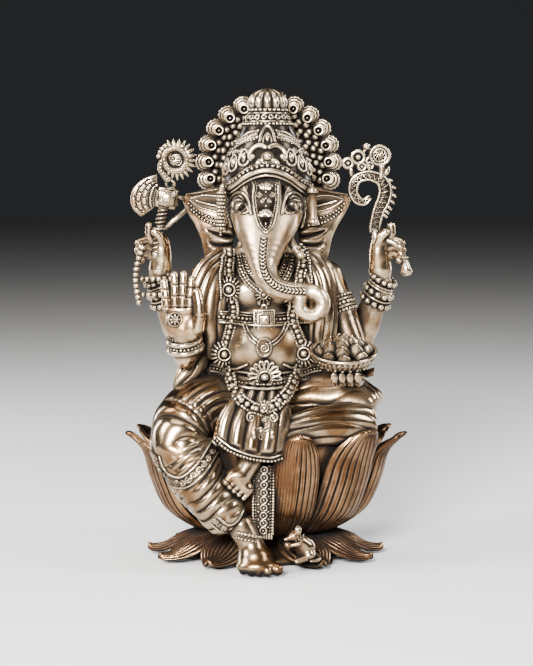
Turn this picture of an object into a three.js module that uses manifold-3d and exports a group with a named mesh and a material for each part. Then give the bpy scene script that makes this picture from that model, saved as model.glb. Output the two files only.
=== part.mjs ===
// Brass figurine: a seated, four-armed, elephant-headed deity on an open lotus, as an
// assembly of separate castings that are soldered to each other.
// Millimetres, +Z up. The figure looks along -Y, so +X is its own left side. The origin is
// the middle of the flat underside.
import * as THREE from "three";
import { mergeVertices } from "three/addons/utils/BufferGeometryUtils.js";
import Module from "manifold-3d";

const wasm = await Module();
wasm.setup();

// ---------- driving dimensions ----------
const HEIGHT = 150;
const GAP = 0.3; // solder gap between two castings
const DEPTH_RATIO = 0.78; // the lotus is oval: depth over width
const LOTUS_TOP = 40; // the seat
const LOTUS_RIM = 44; // radius at the tips of the upright petals
const UPRIGHT_PETALS = 9;
const UPRIGHT_FIRST = 15; // degrees from the front, turning to the figure's left
const UPRIGHT_STEP = 33.4;
const DROOPING_PETALS = 10;
const DROOPING_FIRST = 28;
const DROOPING_STEP = 33.8;
const PETAL_THICK = 1.9;
const HEAD_X = 1; // the head leans this much to the figure's left
const HALO_CENTRE = [HEAD_X, 126];
const HALO_R = 20.5;
const HALO_FRONT = 8.6;
const HALO_THICK = 3;
const WRIST_R = 3.6;

// ---------- helpers ----------
const v3 = (x, y, z) => new THREE.Vector3(x, y, z);
const points3 = (list) => list.map((p) => v3(...p));

/** A closed three.js geometry as a solid with its faces pointing out. */
function solid(geometry) {
  const g = (geometry.index ? geometry.toNonIndexed() : geometry).clone();
  for (const name of Object.keys(g.attributes)) {
    if (name !== "position") g.deleteAttribute(name);
  }
  const merged = mergeVertices(g, 1e-4);
  const vertProperties = new Float32Array(merged.attributes.position.array);
  const triVerts = new Uint32Array(merged.index.array);
  if (signedVolume(vertProperties, triVerts) < 0) {
    for (let i = 0; i < triVerts.length; i += 3) {
      [triVerts[i + 1], triVerts[i + 2]] = [triVerts[i + 2], triVerts[i + 1]];
    }
  }
  return new wasm.Manifold(new wasm.Mesh({ numProp: 3, vertProperties, triVerts }));
}

function signedVolume(p, t) {
  const corner = (i) => v3(p[3 * i], p[3 * i + 1], p[3 * i + 2]);
  let sum = 0;
  for (let i = 0; i < t.length; i += 3) {
    sum += corner(t[i]).dot(corner(t[i + 1]).cross(corner(t[i + 2])));
  }
  return sum;
}

/** Several solids joined into one. */
const join = (...solids) => solids.reduce((a, b) => a.add(b));

/** The solid without its neighbours, given as functions of how far they are grown. */
function clearOf(part, ...neighbours) {
  const cut = neighbours.reduce((left, grown) => {
    const other = grown(GAP);
    return left.intersect(other).volume() > 0 ? left.subtract(other) : left;
  }, part);
  return cut.decompose().reduce((a, b) => (a.volume() > b.volume() ? a : b));
}

/** A solid as a three.js geometry. */
function geometryOf(part) {
  const m = part.getMesh();
  const g = new THREE.BufferGeometry();
  g.setAttribute("position", new THREE.BufferAttribute(new Float32Array(m.vertProperties), 3));
  g.setIndex(new THREE.BufferAttribute(new Uint32Array(m.triVerts), 1));
  g.computeVertexNormals();
  return g;
}

/** An ellipsoid. */
function ball([x, y, z], [rx, ry, rz], grow = 0, wide = 10, high = 7) {
  const g = new THREE.SphereGeometry(1, wide, high);
  g.rotateX(Math.PI / 2);
  g.scale(rx + grow, ry + grow, rz + grow);
  return solid(g.translate(x, y, z));
}

/** A piecewise linear value along t from 0 to 1. */
function along(list, t) {
  const at = THREE.MathUtils.clamp(t, 0, 1) * (list.length - 1);
  const i = Math.min(Math.floor(at), list.length - 2);
  return THREE.MathUtils.lerp(list[i], list[i + 1], at - i);
}

/** A tapered limb along a smooth curve. Its section is `flat` times as thick towards `up` as it is wide. */
function limb(path, radii, { grow = 0, sides = 9, steps = 5, flat = 1, up = [0, 0, 1] } = {}) {
  const curve = new THREE.CatmullRomCurve3(points3(path));
  const g = new THREE.CylinderGeometry(1, 1, 1, sides, steps);
  const position = g.attributes.position;
  const reference = v3(...up);
  for (let i = 0; i < position.count; i += 1) {
    const t = position.getY(i) + 0.5;
    const forward = curve.getTangentAt(t);
    const across = forward.clone().cross(reference).normalize();
    const over = across.clone().cross(forward);
    const r = along(radii, t) + grow;
    const end = grow * (t === 1 ? 1 : t === 0 ? -1 : 0);
    const p = curve.getPointAt(t).addScaledVector(forward, end);
    p.addScaledVector(across, r * position.getX(i)).addScaledVector(over, flat * r * position.getZ(i));
    position.setXYZ(i, p.x, p.y, p.z);
  }
  return solid(g);
}

/** A curved sheet: surface(u, v) is its middle, with u from -1 to 1 and v from 0 to 1. */
function sheet(surface, thick, { grow = 0, across = 4, down = 6 } = {}) {
  const g = new THREE.BoxGeometry(2, 1, 1, across, down, 1);
  const position = g.attributes.position;
  const tiny = 1e-3;
  for (let i = 0; i < position.count; i += 1) {
    const u = position.getX(i);
    const v = position.getY(i) + 0.5;
    const here = surface(u, v);
    const du = surface(u + tiny, v).sub(surface(u - tiny, v));
    const dv = surface(u, v + tiny).sub(surface(u, v - tiny));
    const out = du.clone().cross(dv).normalize();
    here.addScaledVector(out, position.getZ(i) * (thick + 2 * grow));
    if (Math.abs(u) === 1) here.addScaledVector(du.normalize(), u * grow);
    if (v === 0 || v === 1) here.addScaledVector(dv.normalize(), (v === 1 ? 1 : -1) * grow);
    position.setXYZ(i, here.x, here.y, here.z);
  }
  return solid(g);
}

/** A turned solid from [radius, height] points that start and end on the axis or close on themselves. */
function turned(profile, { segments = 20, centre = [0, 0], depth = 1 } = {}) {
  const g = new THREE.LatheGeometry(profile.map(([r, h]) => new THREE.Vector2(r, h)), segments);
  g.rotateX(Math.PI / 2);
  g.scale(1, depth, 1);
  return solid(g.translate(centre[0], centre[1], 0));
}

/** A flat outline drawn in X and Z, given its thickness towards the back from y = front. */
function plate(shape, front, thick) {
  const g = new THREE.ExtrudeGeometry(shape, { depth: thick, bevelEnabled: false, curveSegments: 4 });
  g.rotateX(Math.PI / 2);
  return solid(g.translate(0, front + thick, 0));
}

/** The direction of an angle round the lotus, from the front towards the figure's left. */
function around(degrees, r, z) {
  const a = THREE.MathUtils.degToRad(degrees);
  return v3(r * Math.sin(a), -DEPTH_RATIO * r * Math.cos(a), z);
}

// ---------- base and lotus ----------
const basePlate = () =>
  turned([[0, 0], [22, 0], [22, 1.4], [15, 5.2], [12.5, 8.6], [0, 8.6]], { depth: 0.85, segments: 24 });

const bowlProfile = [
  [0, 9], [11.5, 9], [14, 13], [24, 16.4], [29.6, 21.5], [32.6, 28.5], [34.4, 35], [34.8, LOTUS_TOP],
];

function lotusBowl(grow = 0) {
  const outer = bowlProfile.map(([r, z]) => [r > 0 ? r + grow : 0, z]);
  return turned([...outer, [0, LOTUS_TOP + grow]].map(([r, z], i, all) => {
    const isTop = i >= all.length - 2;
    return [r, isTop ? LOTUS_TOP + grow : z - (z < 10 ? grow : 0)];
  }), { depth: DEPTH_RATIO, segments: 28 });
}

const petalCurve = new THREE.CatmullRomCurve3(
  points3([
    [15.5, 0, 11.4], [25, 0, 13.6], [31.6, 0, 19.6], [35.4, 0, 28], [38.2, 0, 35.4], [LOTUS_RIM, 0, 41.2],
  ]),
);
const petalWidths = [6.8, 10.4, 14.6, 17.2, 17.6, 14.4, 7, 1.6];

function uprightPetal(degrees, grow = 0) {
  const surface = (u, v) => {
    const at = petalCurve.getPoint(THREE.MathUtils.clamp(v, 0, 1));
    const turn = THREE.MathUtils.radToDeg((u * along(petalWidths, v)) / 2 / at.x);
    const bulge = 1.1 * (1 - u * u);
    return around(degrees + turn, at.x + bulge, at.z).add(v3(0, 0, v > 1 || v < 0 ? v : 0));
  };
  return sheet(surface, PETAL_THICK, { grow, across: 4, down: 8 });
}

const droopCurve = new THREE.CatmullRomCurve3(
  points3([[16.2, 0, 9.2], [21.5, 0, 7.6], [28, 0, 4.4], [33.5, 0, 1.5], [37.4, 0, 1.7]]),
);
const droopWidths = [7.6, 10.8, 14.6, 14, 8, 2];

function droopingPetal(degrees, grow = 0) {
  const surface = (u, v) => {
    const at = droopCurve.getPoint(THREE.MathUtils.clamp(v, 0, 1));
    const turn = THREE.MathUtils.radToDeg((u * along(droopWidths, v)) / 2 / at.x);
    return around(degrees + turn, at.x, at.z).setZ(at.z + 0.9 * v * u * u);
  };
  return sheet(surface, 1.5, { grow, across: 4, down: 5 });
}

// ---------- body ----------
function torso(grow = 0) {
  const pelvis = ball([0, 0, 51], [17.5, 13.5, 13], grow, 14, 8);
  const belly = ball([0, -7, 68.5], [14.8, 14.2, 14.6], grow, 14, 9);
  const chest = ball([0, -1, 85], [15.5, 10.5, 12], grow, 12, 8);
  const shoulders = limb([[-18, 1, 90.5], [0, 1, 92], [18, 1, 90.5]], [4.8, 6, 4.8], { grow, steps: 4 });
  const neck = limb([[0.5, 0, 88], [0.5, 0, 100.4]], [7, 6.4], { grow, steps: 1, up: [0, 1, 0] });
  const body = join(pelvis, belly, chest, shoulders, neck);
  return body.trimByPlane([0, 0, 1], LOTUS_TOP + GAP - grow);
}

const bothSides = new THREE.MeshBasicMaterial({ side: THREE.DoubleSide });
const torsoMesh = new THREE.Mesh(geometryOf(torso()), bothSides);

/** Where the front of the torso is, under a point given by x and z. */
function front(x, z) {
  const ray = new THREE.Raycaster(v3(x, -80, z), v3(0, 1, 0));
  return ray.intersectObject(torsoMesh)[0].point.y;
}

const rightThigh = (grow = 0) =>
  limb([[-10, -3, 52], [-20, -12, 51], [-28.4, -20.5, 45]], [11.5, 11.2, 9.6], { grow, sides: 12 });

const rightShin = (grow = 0) =>
  join(
    ball([-26.4, -22, 42.5], [9.6, 8.4, 9.6], grow),
    limb([[-26.4, -22, 42.5], [-19, -28, 27], [-7.4, -30.4, 12.6]], [9.4, 8.8, 5], { grow, sides: 12 }),
  );

const leftThigh = (grow = 0) =>
  join(
    ball([33.6, -8.6, 49], [7.6, 9.4, 9], grow),
    limb([[10, -3, 52], [23, -6, 51.4], [33.6, -8.6, 49]], [11.5, 10.6, 8.8], { grow, sides: 12 }),
  );

const leftShin = (grow = 0) =>
  limb([[31, -17, 45], [17, -21.5, 46], [5, -25.5, 42.4], [-3.4, -28.6, 36.4]], [5, 5, 4.6, 3.2], { grow });

const rightFoot = (grow = 0) =>
  join(
    limb([[-6, -29.8, 12.2], [-3.6, -31.4, 6.6]], [4.2, 4.6], { grow, steps: 2, up: [0, 1, 0] }),
    ball([-2.4, -33.2, 3.9], [6.4, 5.4, 3.4], grow),
    ball([-1.6, -35, 3], [6.6, 3.6, 2.5], grow),
  );

const leftFoot = (grow = 0) =>
  join(
    ball([-6, -30.6, 32.6], [3.4, 2.4, 3.8], grow, 10, 6),
    ball([-8.6, -32, 29.4], [3.2, 2.2, 3], grow, 10, 6),
  );

function apron(grow = 0) {
  const profile = new THREE.CatmullRomCurve3(
    points3([[0, -21.6, 57], [0, -29, 52.6], [0, -33.8, 45], [0, -36, 35.6]]),
  );
  const surface = (u, v) => {
    const at = profile.getPoint(THREE.MathUtils.clamp(v, 0, 1));
    const middle = THREE.MathUtils.lerp(0.6, -5.8, v);
    const half = THREE.MathUtils.lerp(8.6, 8, v);
    return v3(middle + u * half, at.y + 1.2 * u * u, at.z + 1.6 * v * u * u);
  };
  return sheet(surface, 1.6, { grow, across: 4, down: 5 });
}

function sash(grow = 0) {
  const surface = (u, v) =>
    v3(-0.6 + 2.6 * u - 0.6 * v, THREE.MathUtils.lerp(-31.4, -27.2, v), THREE.MathUtils.lerp(32.4, 12.4, v));
  return sheet(surface, 1.5, { grow, across: 2, down: 4 });
}

// ---------- head ----------
const head = (grow = 0) =>
  join(
    ball([HEAD_X, -2.4, 114], [11.4, 10.4, 11.8], grow, 14, 9),
    ball([HEAD_X - 5, -7.5, 109], [6.2, 7, 7.6], grow),
    ball([HEAD_X + 5, -7.5, 109], [6.2, 7, 7.6], grow),
  );

function trunk(grow = 0) {
  const upper = limb(
    [
      [HEAD_X, -10.5, 112], [0.2, -15.5, 103.5], [-0.6, -19.4, 97], [0.6, -23, 90.6], [5, -25.8, 87.4],
      [9.6, -27, 87.1], [13.6, -27.2, 86.9],
    ],
    [6.8, 6.4, 5, 3.9, 3, 2.6, 2.4],
    { grow, steps: 9, up: [0, -1, 0] },
  );
  const curl = limb(
    [
      [13, -27.2, 87], [16.6, -27.4, 85.6], [17.6, -27.6, 82.2], [14.8, -27.8, 79.7], [11.4, -28.2, 80.8],
      [10.3, -28.6, 83.4],
    ],
    [2.5, 2.5, 2.4, 2.3, 2.2, 2],
    { grow, steps: 8, sides: 8, up: [0, -1, 0] },
  );
  return join(upper, curl);
}

/** An ear; side is -1 on the figure's right and 1 on its left. */
function ear(side, grow = 0) {
  const outer = [26.4, 24.6, 21.8, 19.4, 18.6];
  const surface = (u, v) => {
    const s = (u + 1) / 2;
    const x = THREE.MathUtils.lerp(8.4, along(outer, v), s);
    const z = THREE.MathUtils.lerp(119, 100, v) + s * THREE.MathUtils.lerp(-2.4, -4.6, v);
    return v3(HEAD_X + side * x, 1.6 + 2.2 * s * s - 1.4 * Math.sin(Math.PI * v), z);
  };
  return sheet(surface, 1.5, { grow, across: 4, down: 5 });
}

/** A tusk; the figure's left one is whole and longer. */
function tusk(side) {
  const length = side > 0 ? 1 : 0.55;
  const root = v3(HEAD_X + side * 6.6, -13.4, 103.4);
  const tip = root.clone().add(v3(side * 4.6, -2.8, -5.2).multiplyScalar(length));
  return limb([root.toArray(), tip.toArray()], [1.6, 0.9], { steps: 1, sides: 8 });
}

const crownProfile = [
  [0, 117], [12.6, 117], [13.9, 119.4], [14, 125], [12.6, 131], [10.4, 136.4], [8, 139.4],
  [6.4, 143], [0, 143],
];

const crown = (grow = 0) =>
  turned(crownProfile.map(([r, z]) => [r > 0 ? r + grow : 0, z + (z === 143 ? grow : 0)]), {
    centre: [HEAD_X, -2],
    depth: 0.86,
    segments: 24,
  });

const finial = () =>
  turned([[0, 143.3], [6.2, 143.3], [7.2, 145.6], [5.6, 148.2], [2.4, 149.6], [0, HEIGHT]], {
    centre: [HEAD_X, -2],
    depth: 0.86,
    segments: 16,
  });

/** The scalloped glory behind the head: a fan of round lobes over a shoulder line. */
function halo(grow = 0) {
  const [cx, cz] = HALO_CENTRE;
  const lobes = 14;
  const from = -22;
  const to = 202;
  const lobeR = (HALO_R * THREE.MathUtils.degToRad(to - from)) / lobes / 2;
  const shape = new THREE.Shape();
  for (let i = 0; i < lobes; i += 1) {
    const a = THREE.MathUtils.degToRad(from + ((i + 0.5) * (to - from)) / lobes);
    const x = cx + HALO_R * Math.cos(a);
    const z = cz + HALO_R * Math.sin(a);
    shape.absarc(x, z, lobeR + grow, a - Math.PI / 2.1, a + Math.PI / 2.1, false);
  }
  shape.closePath();
  return plate(shape, HALO_FRONT - grow, HALO_THICK + 2 * grow);
}

// ---------- arms and hands ----------
/** An arm in two straight segments with a round elbow. */
const arm = (shoulder, elbow, wrist, radii, grow = 0) =>
  join(
    limb([shoulder, elbow], [radii[0], radii[1]], { grow, steps: 1, up: [0, 1, 0.2] }),
    limb([elbow, wrist], [radii[1], radii[2]], { grow, steps: 1, up: [0, 1, 0.2] }),
    ball(elbow, [radii[1], radii[1], radii[1]], grow, 9, 6),
  );

const REAR_RIGHT_WRIST = [-34.2, 0.6, 88];
const REAR_LEFT_WRIST = [37.2, 0.6, 88];
const FRONT_RIGHT_WRIST = [-25.4, -18.6, 70];
const FRONT_LEFT_WRIST = [26.6, -17.6, 61.6];
const rearRightArm = (grow = 0) =>
  arm([-15, 5.6, 88.6], [-26, 7.6, 66.4], REAR_RIGHT_WRIST, [5.2, 4.7, WRIST_R], grow);
const rearLeftArm = (grow = 0) =>
  arm([15, 5.6, 88.6], [29.4, 7.6, 66.4], REAR_LEFT_WRIST, [5.2, 4.7, WRIST_R], grow);
const frontRightArm = (grow = 0) =>
  arm([-19, -1.5, 90], [-23, -5, 65.6], FRONT_RIGHT_WRIST, [5.2, 4.8, 3.8], grow);
const frontLeftArm = (grow = 0) =>
  arm([19.4, -1.5, 90], [28.4, -6, 66.6], FRONT_LEFT_WRIST, [5.4, 4.9, 3.7], grow);

const finger = (from, to, r, grow) =>
  limb([from, to], [r, r * 0.72], { grow, sides: 6, steps: 1, up: [0.1, 1, 0.1] });

/** A rear hand that closes round a staff; side is -1 on the figure's right. */
function rearHand([x, y, z], side, grow = 0) {
  const palm = ball([x - side * 1, y - 1.2, z + 8.6], [3.7, 2.8, 7], grow);
  const fingers = [0, 1, 2, 3].map((i) =>
    finger(
      [x + side * 1.4, y - 1.8, z + 8 + 2.2 * i], [x + side * 5, y - 3.4, z + 7.6 + 2.6 * i], 1.35, grow,
    ),
  );
  const thumb = finger([x - side * 1.6, y - 2, z + 12], [x - side * 1.4, y - 2.8, z + 18], 1.4, grow);
  return join(palm, ...fingers, thumb);
}

function blessingHand(grow = 0) {
  const [x, y, z] = FRONT_RIGHT_WRIST;
  const palm = ball([x - 0.2, y - 2.6, z + 8], [5.2, 2.3, 6.4], grow);
  const fingers = [-3.7, -1.3, 1.2, 3.6].map((dx, i) =>
    finger([x + dx, y - 2.8, z + 12], [x + 1.1 * dx, y - 2.2, z + [20.4, 22.6, 23.2, 21][i]], 1.25, grow),
  );
  const thumb = finger([x + 3.6, y - 3.2, z + 7], [x + 6.8, y - 3.6, z + 13.6], 1.4, grow);
  return join(palm, ...fingers, thumb);
}

function bowlHand(grow = 0) {
  const [x, y, z] = FRONT_LEFT_WRIST;
  const palm = ball([x - 0.4, y - 5.4, z - 0.9], [4.6, 5.6, 2], grow);
  const fingers = [-3, -1, 1, 3].map((dx) =>
    finger([x - 0.4 + dx, y - 9, z - 1], [x - 0.8 + dx * 1.3, y - 13.4, z + 0.4], 1.2, grow),
  );
  return join(palm, ...fingers);
}

/** A pair of beaded bangles as one ring, round the forearm just below the wrist. */
function bangle(elbow, wrist) {
  const ring = new THREE.LatheGeometry(
    [[3, 0], [5, 0], [5.8, 1.2], [5, 2.6], [5.8, 4], [5, 5.2], [3, 5.2], [3, 0]].map(
      ([r, h]) => new THREE.Vector2(r, h),
    ),
    14,
  );
  const direction = v3(...wrist).sub(v3(...elbow)).normalize();
  ring.applyQuaternion(new THREE.Quaternion().setFromUnitVectors(v3(0, 1, 0), direction));
  const at = v3(...wrist).addScaledVector(direction, -6);
  return solid(ring.translate(at.x, at.y, at.z));
}

// ---------- drapery and jewellery ----------
const shawl = (side, grow = 0) =>
  limb(
    [[side * 12.4, -5, 96.6], [side * 18, -8.4, 88], [side * 20.4, -9.4, 76], [side * 22, -8, 65]],
    [4.4, 5.6, 5.2, 4.2],
    { grow, steps: 6, flat: 0.7, up: [0, 1, 0] },
  );

const GARLAND = [
  [-10.6, 93], [-12.6, 84], [-13.4, 74], [-12.2, 64], [-8, 58.8], [0, 57.8], [8, 58.8], [12.2, 64],
  [13.4, 74], [12.6, 84], [10.6, 93],
];
const garland = (grow = 0) =>
  limb(
    GARLAND.map(([x, z]) => [x, front(x * 0.985, z) - 2.1, z]),
    [1.5, 1.5],
    { grow, sides: 6, steps: 22, up: [0, 1, 0] },
  );

function medallion() {
  const shape = new THREE.Shape();
  shape.absarc(0, 80, 3.8, 0, 2 * Math.PI, false);
  return plate(shape, front(0, 76.4) - 3, 2.4);
}

// ---------- what the hands hold, and the mouse ----------
const AXE_BLOCK = [-31.4, -1.6, 115.2];
const axeHandle = (grow = 0) =>
  limb([[-35.2, -1.6, 98], [-29.8, -1.6, 119]], [1.5, 1.5], { grow, sides: 8, steps: 1, up: [0, 1, 0] });

function axe() {
  const [x, y, z] = AXE_BLOCK;
  const block = new THREE.BoxGeometry(6, 3.6, 6).rotateY(-0.16).translate(x, y, z);
  const blade = new THREE.Shape();
  const toBlade = Math.PI - 0.1;
  blade.moveTo(x, z + 1.2);
  blade.absarc(x - 1.2, z - 0.2, 11.4, toBlade - 0.62, toBlade + 0.72, false);
  blade.lineTo(x, z - 1.6);
  return join(axeHandle(), solid(block), plate(blade, y - 0.9, 1.8));
}

/** The rayed flower that tops the staff above the axe. */
function staffFlower() {
  const [cx, cz] = [-28.6, 127.4];
  const rays = 18;
  const shape = new THREE.Shape();
  for (let i = 0; i < rays * 2; i += 1) {
    const a = (i * Math.PI) / rays;
    const r = i % 2 ? 5.2 : 6.6;
    shape[i ? "lineTo" : "moveTo"](cx + r * Math.cos(a), cz + r * Math.sin(a));
  }
  shape.closePath();
  const stalk = limb(
    [[-29.7, -1.6, 119.4], [-29.4, -1.6, 123]],
    [1.3, 1.3],
    { sides: 8, steps: 1, up: [0, 1, 0] },
  );
  return join(plate(shape, -2.7, 2.2), stalk);
}

/** The goad: a flat hook that rolls inwards, with a second scroll on its back. */
function goad(grow = 0) {
  const hook = limb(
    [
      [34.4, -1.6, 97], [34.9, -1.6, 106.4], [37.6, -1.6, 114.8], [36.7, -1.6, 121], [32.8, -1.6, 122.4],
      [29, -1.6, 121.2], [27.8, -1.6, 118], [28.8, -1.6, 115.1], [31.1, -1.6, 114],
    ],
    [1.5, 1.9, 2, 2, 1.8, 1.7, 1.6, 1.5, 1.3],
    { grow, sides: 6, steps: 18, up: [0, -1, 0] },
  );
  const scroll = limb(
    [
      [34.6, -1.6, 122.6], [33.2, -1.6, 126], [33.6, -1.6, 129.6], [36.6, -1.6, 131.2],
      [39, -1.6, 129], [38.2, -1.6, 126.4],
    ],
    [1.3, 1.2, 1.2, 1.2, 1.1, 0.9],
    { grow, sides: 6, steps: 10, up: [0, -1, 0] },
  );
  return join(hook, scroll);
}

const prayerBeads = () =>
  limb(
    [[-39.4, -4, 94], [-40.2, -4.2, 88], [-41, -4, 83.4]],
    [1.1, 1.2, 1.6],
    { sides: 8, steps: 5, up: [0, 1, 0] },
  );

const SWEET_BOWL = [24, -26.8, 65.1];
const BOWL_LEAN = 17; // degrees towards the front
const leaning = (shape) => {
  const [x, y, z] = SWEET_BOWL;
  return shape.translate([-x, -y, -z]).rotate([BOWL_LEAN, 0, 0]).translate([x, y, z]);
};

const sweetBowl = (grow = 0) =>
  leaning(
    turned(
      [
        [0, 62.6 - grow], [4 + grow, 62.6 - grow], [8.4 + grow, 65 - grow], [10.5 + grow, 68.8],
        [9.4 - grow, 68.8 + grow], [7.6 - grow, 66.2 + grow], [0, 64.4 + grow],
      ],
      { centre: [SWEET_BOWL[0], SWEET_BOWL[1]] },
    ),
  );

function sweets() {
  const [x, y] = SWEET_BOWL;
  const outer = [0, 1, 2, 3, 4, 5].map((i) => {
    const a = (i * Math.PI) / 3;
    return ball([x + 5 * Math.cos(a), y + 5 * Math.sin(a), 68.4], [2.9, 2.9, 2.9], 0, 7, 5);
  });
  return leaning(join(ball([x, y, 70.4], [3.8, 3.8, 4], 0, 8, 6), ...outer));
}

const mouse = () =>
  join(
    ball([12.2, -27.6, 7.8], [3.8, 3.2, 3.4], 0, 8, 6),
    ball([8.6, -29, 10.8], [2.5, 2.2, 2.1], 0, 8, 6),
    ball([9.6, -28, 12.8], [1.2, 0.9, 1.2], 0, 6, 5),
  );

// ---------- assembly ----------
const brass = (r, g, b, roughness) =>
  new THREE.MeshStandardMaterial({ color: new THREE.Color(r, g, b), metalness: 1, roughness });
const BODY = brass(0.78, 0.66, 0.47, 0.28);
const LOTUS = brass(0.68, 0.5, 0.29, 0.34);
const ORNAMENT = brass(0.8, 0.7, 0.54, 0.3);

const statue = new THREE.Group();

function add(name, part, material) {
  const mesh = new THREE.Mesh(geometryOf(part), material);
  mesh.name = name;
  statue.add(mesh);
}

const uprightAngles = Array.from({ length: UPRIGHT_PETALS }, (_, i) => UPRIGHT_FIRST + i * UPRIGHT_STEP);
const droopingAngles = Array.from({ length: DROOPING_PETALS }, (_, i) => DROOPING_FIRST + i * DROOPING_STEP);
const uprightPetals = uprightAngles.map((degrees) => (grow) => uprightPetal(degrees, grow));
const droopingPetals = droopingAngles.map((degrees) => (grow) => droopingPetal(degrees, grow));

add("base_plate", basePlate(), LOTUS);
add("lotus_bowl", lotusBowl(), LOTUS);
uprightPetals.forEach((petal, i) => add(`upright_petal_${i + 1}`, clearOf(petal(0), lotusBowl), LOTUS));
droopingPetals.forEach((petal, i) => {
  add(`drooping_petal_${i + 1}`, clearOf(petal(0), ...uprightPetals), LOTUS);
});

add("torso", torso(), BODY);
add("right_thigh", clearOf(rightThigh(), torso, lotusBowl, ...uprightPetals), BODY);
add("right_shin", clearOf(rightShin(), rightThigh, torso, lotusBowl, ...uprightPetals), BODY);
add("left_thigh", clearOf(leftThigh(), torso, lotusBowl, ...uprightPetals), BODY);
add("left_shin", clearOf(leftShin(), leftThigh, torso, lotusBowl, rightThigh, ...uprightPetals), BODY);
add("right_foot", clearOf(rightFoot(), rightShin, lotusBowl, ...droopingPetals), BODY);
add("left_foot", clearOf(leftFoot(), leftShin, rightShin, lotusBowl), BODY);
add(
  "apron",
  clearOf(apron(), torso, rightThigh, leftThigh, leftShin, rightShin, leftFoot, ...uprightPetals),
  BODY,
);
add(
  "sash",
  clearOf(sash(), rightShin, rightFoot, leftFoot, leftShin, apron, lotusBowl, ...uprightPetals),
  ORNAMENT,
);

add("head", clearOf(head(), torso), BODY);
add("trunk", clearOf(trunk(), head, torso), BODY);
add("right_ear", clearOf(ear(-1), head, torso, crown), BODY);
add("left_ear", clearOf(ear(1), head, torso, crown), BODY);
add("right_tusk", clearOf(tusk(-1), head, trunk), BODY);
add("left_tusk", clearOf(tusk(1), head, trunk), BODY);
add("crown", clearOf(crown(), head, halo), ORNAMENT);
add("crown_finial", finial(), ORNAMENT);
add("halo", halo(), ORNAMENT);

add("rear_right_arm", clearOf(rearRightArm(), torso), BODY);
add("rear_left_arm", clearOf(rearLeftArm(), torso), BODY);
add("front_right_arm", clearOf(frontRightArm(), torso, rightThigh, rearRightArm), BODY);
add("front_left_arm", clearOf(frontLeftArm(), torso, leftThigh, rearLeftArm, sweetBowl), BODY);
add("rear_right_hand", clearOf(rearHand(REAR_RIGHT_WRIST, -1), rearRightArm, axeHandle), BODY);
add("rear_left_hand", clearOf(rearHand(REAR_LEFT_WRIST, 1), rearLeftArm, goad), BODY);
add("blessing_hand", clearOf(blessingHand(), frontRightArm), BODY);
add("bowl_hand", clearOf(bowlHand(), frontLeftArm, sweetBowl), BODY);
add("right_bangles", clearOf(bangle([-26, 7.6, 66.4], REAR_RIGHT_WRIST), rearRightArm), ORNAMENT);
add("left_bangles", clearOf(bangle([29.4, 7.6, 66.4], REAR_LEFT_WRIST), rearLeftArm), ORNAMENT);

const rightShawl = (grow) => shawl(-1, grow);
const leftShawl = (grow) => shawl(1, grow);
add("right_shawl", clearOf(rightShawl(0), torso, frontRightArm, rearRightArm, garland, rightThigh), BODY);
add("left_shawl", clearOf(leftShawl(0), torso, frontLeftArm, rearLeftArm, garland, leftThigh), BODY);
add("garland", clearOf(garland(), torso, trunk), ORNAMENT);
add("medallion", clearOf(medallion(), torso, trunk), ORNAMENT);

add("axe", axe(), ORNAMENT);
add("staff_flower", staffFlower(), ORNAMENT);
add("goad", goad(), ORNAMENT);
add("prayer_beads", clearOf(prayerBeads(), (grow) => rearHand(REAR_RIGHT_WRIST, -1, grow)), ORNAMENT);
add("sweet_bowl", sweetBowl(), ORNAMENT);
add("sweets", clearOf(sweets(), sweetBowl), ORNAMENT);
add("mouse", clearOf(mouse(), ...droopingPetals, ...uprightPetals), BODY);

export default statue;
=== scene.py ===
"""Antique brass statuette of a seated, elephant-headed deity on a lotus, modelled round its CAD frame.

All shapes are worked out in millimetres and turned into metres when a mesh is made.
The figure looks along -Y, so +X is its own left.
"""
import math

import bpy
import numpy as np
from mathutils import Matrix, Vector
from mathutils.bvhtree import BVHTree


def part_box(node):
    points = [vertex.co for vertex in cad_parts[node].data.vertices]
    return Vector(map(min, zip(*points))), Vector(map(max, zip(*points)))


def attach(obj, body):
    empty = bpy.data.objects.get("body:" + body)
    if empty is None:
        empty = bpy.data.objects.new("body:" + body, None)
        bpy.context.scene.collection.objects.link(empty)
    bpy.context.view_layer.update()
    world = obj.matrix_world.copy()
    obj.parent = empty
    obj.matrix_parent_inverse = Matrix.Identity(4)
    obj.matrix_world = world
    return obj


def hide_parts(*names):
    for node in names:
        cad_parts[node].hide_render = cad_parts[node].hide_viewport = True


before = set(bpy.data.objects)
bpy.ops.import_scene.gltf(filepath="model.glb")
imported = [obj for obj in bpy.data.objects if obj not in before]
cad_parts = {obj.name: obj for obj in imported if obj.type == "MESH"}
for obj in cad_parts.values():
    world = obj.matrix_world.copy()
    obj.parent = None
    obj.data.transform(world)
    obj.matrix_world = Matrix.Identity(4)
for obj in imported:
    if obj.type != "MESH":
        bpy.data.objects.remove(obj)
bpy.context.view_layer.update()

MM = 0.001
FINE = 1.0  # how finely the surfaces are sampled
TAU = 2 * math.pi
FRONT = np.array([0.0, -1.0, 0.0])
UP = np.array([0.0, 0.0, 1.0])

# ---------- small maths ----------


def vec(*values):
    return np.array(values, dtype=float)


def unit(v):
    return v / np.maximum(np.linalg.norm(v, axis=-1, keepdims=True), 1e-9)


def smooth(edge0, edge1, x):
    t = np.clip((x - edge0) / (edge1 - edge0), 0, 1)
    return t * t * (3 - 2 * t)


def mix(a, b, t):
    return a + (b - a) * t


def lengths(points):
    """How far along a line each of its points lies."""
    return np.r_[0, np.cumsum(np.linalg.norm(np.diff(points, axis=0), axis=1))]


def between(at, known, rows):
    """Points interpolated at the values in `at`, from rows of points at the known values."""
    return np.stack([np.interp(at, known, column) for column in rows.T], axis=-1)


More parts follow.
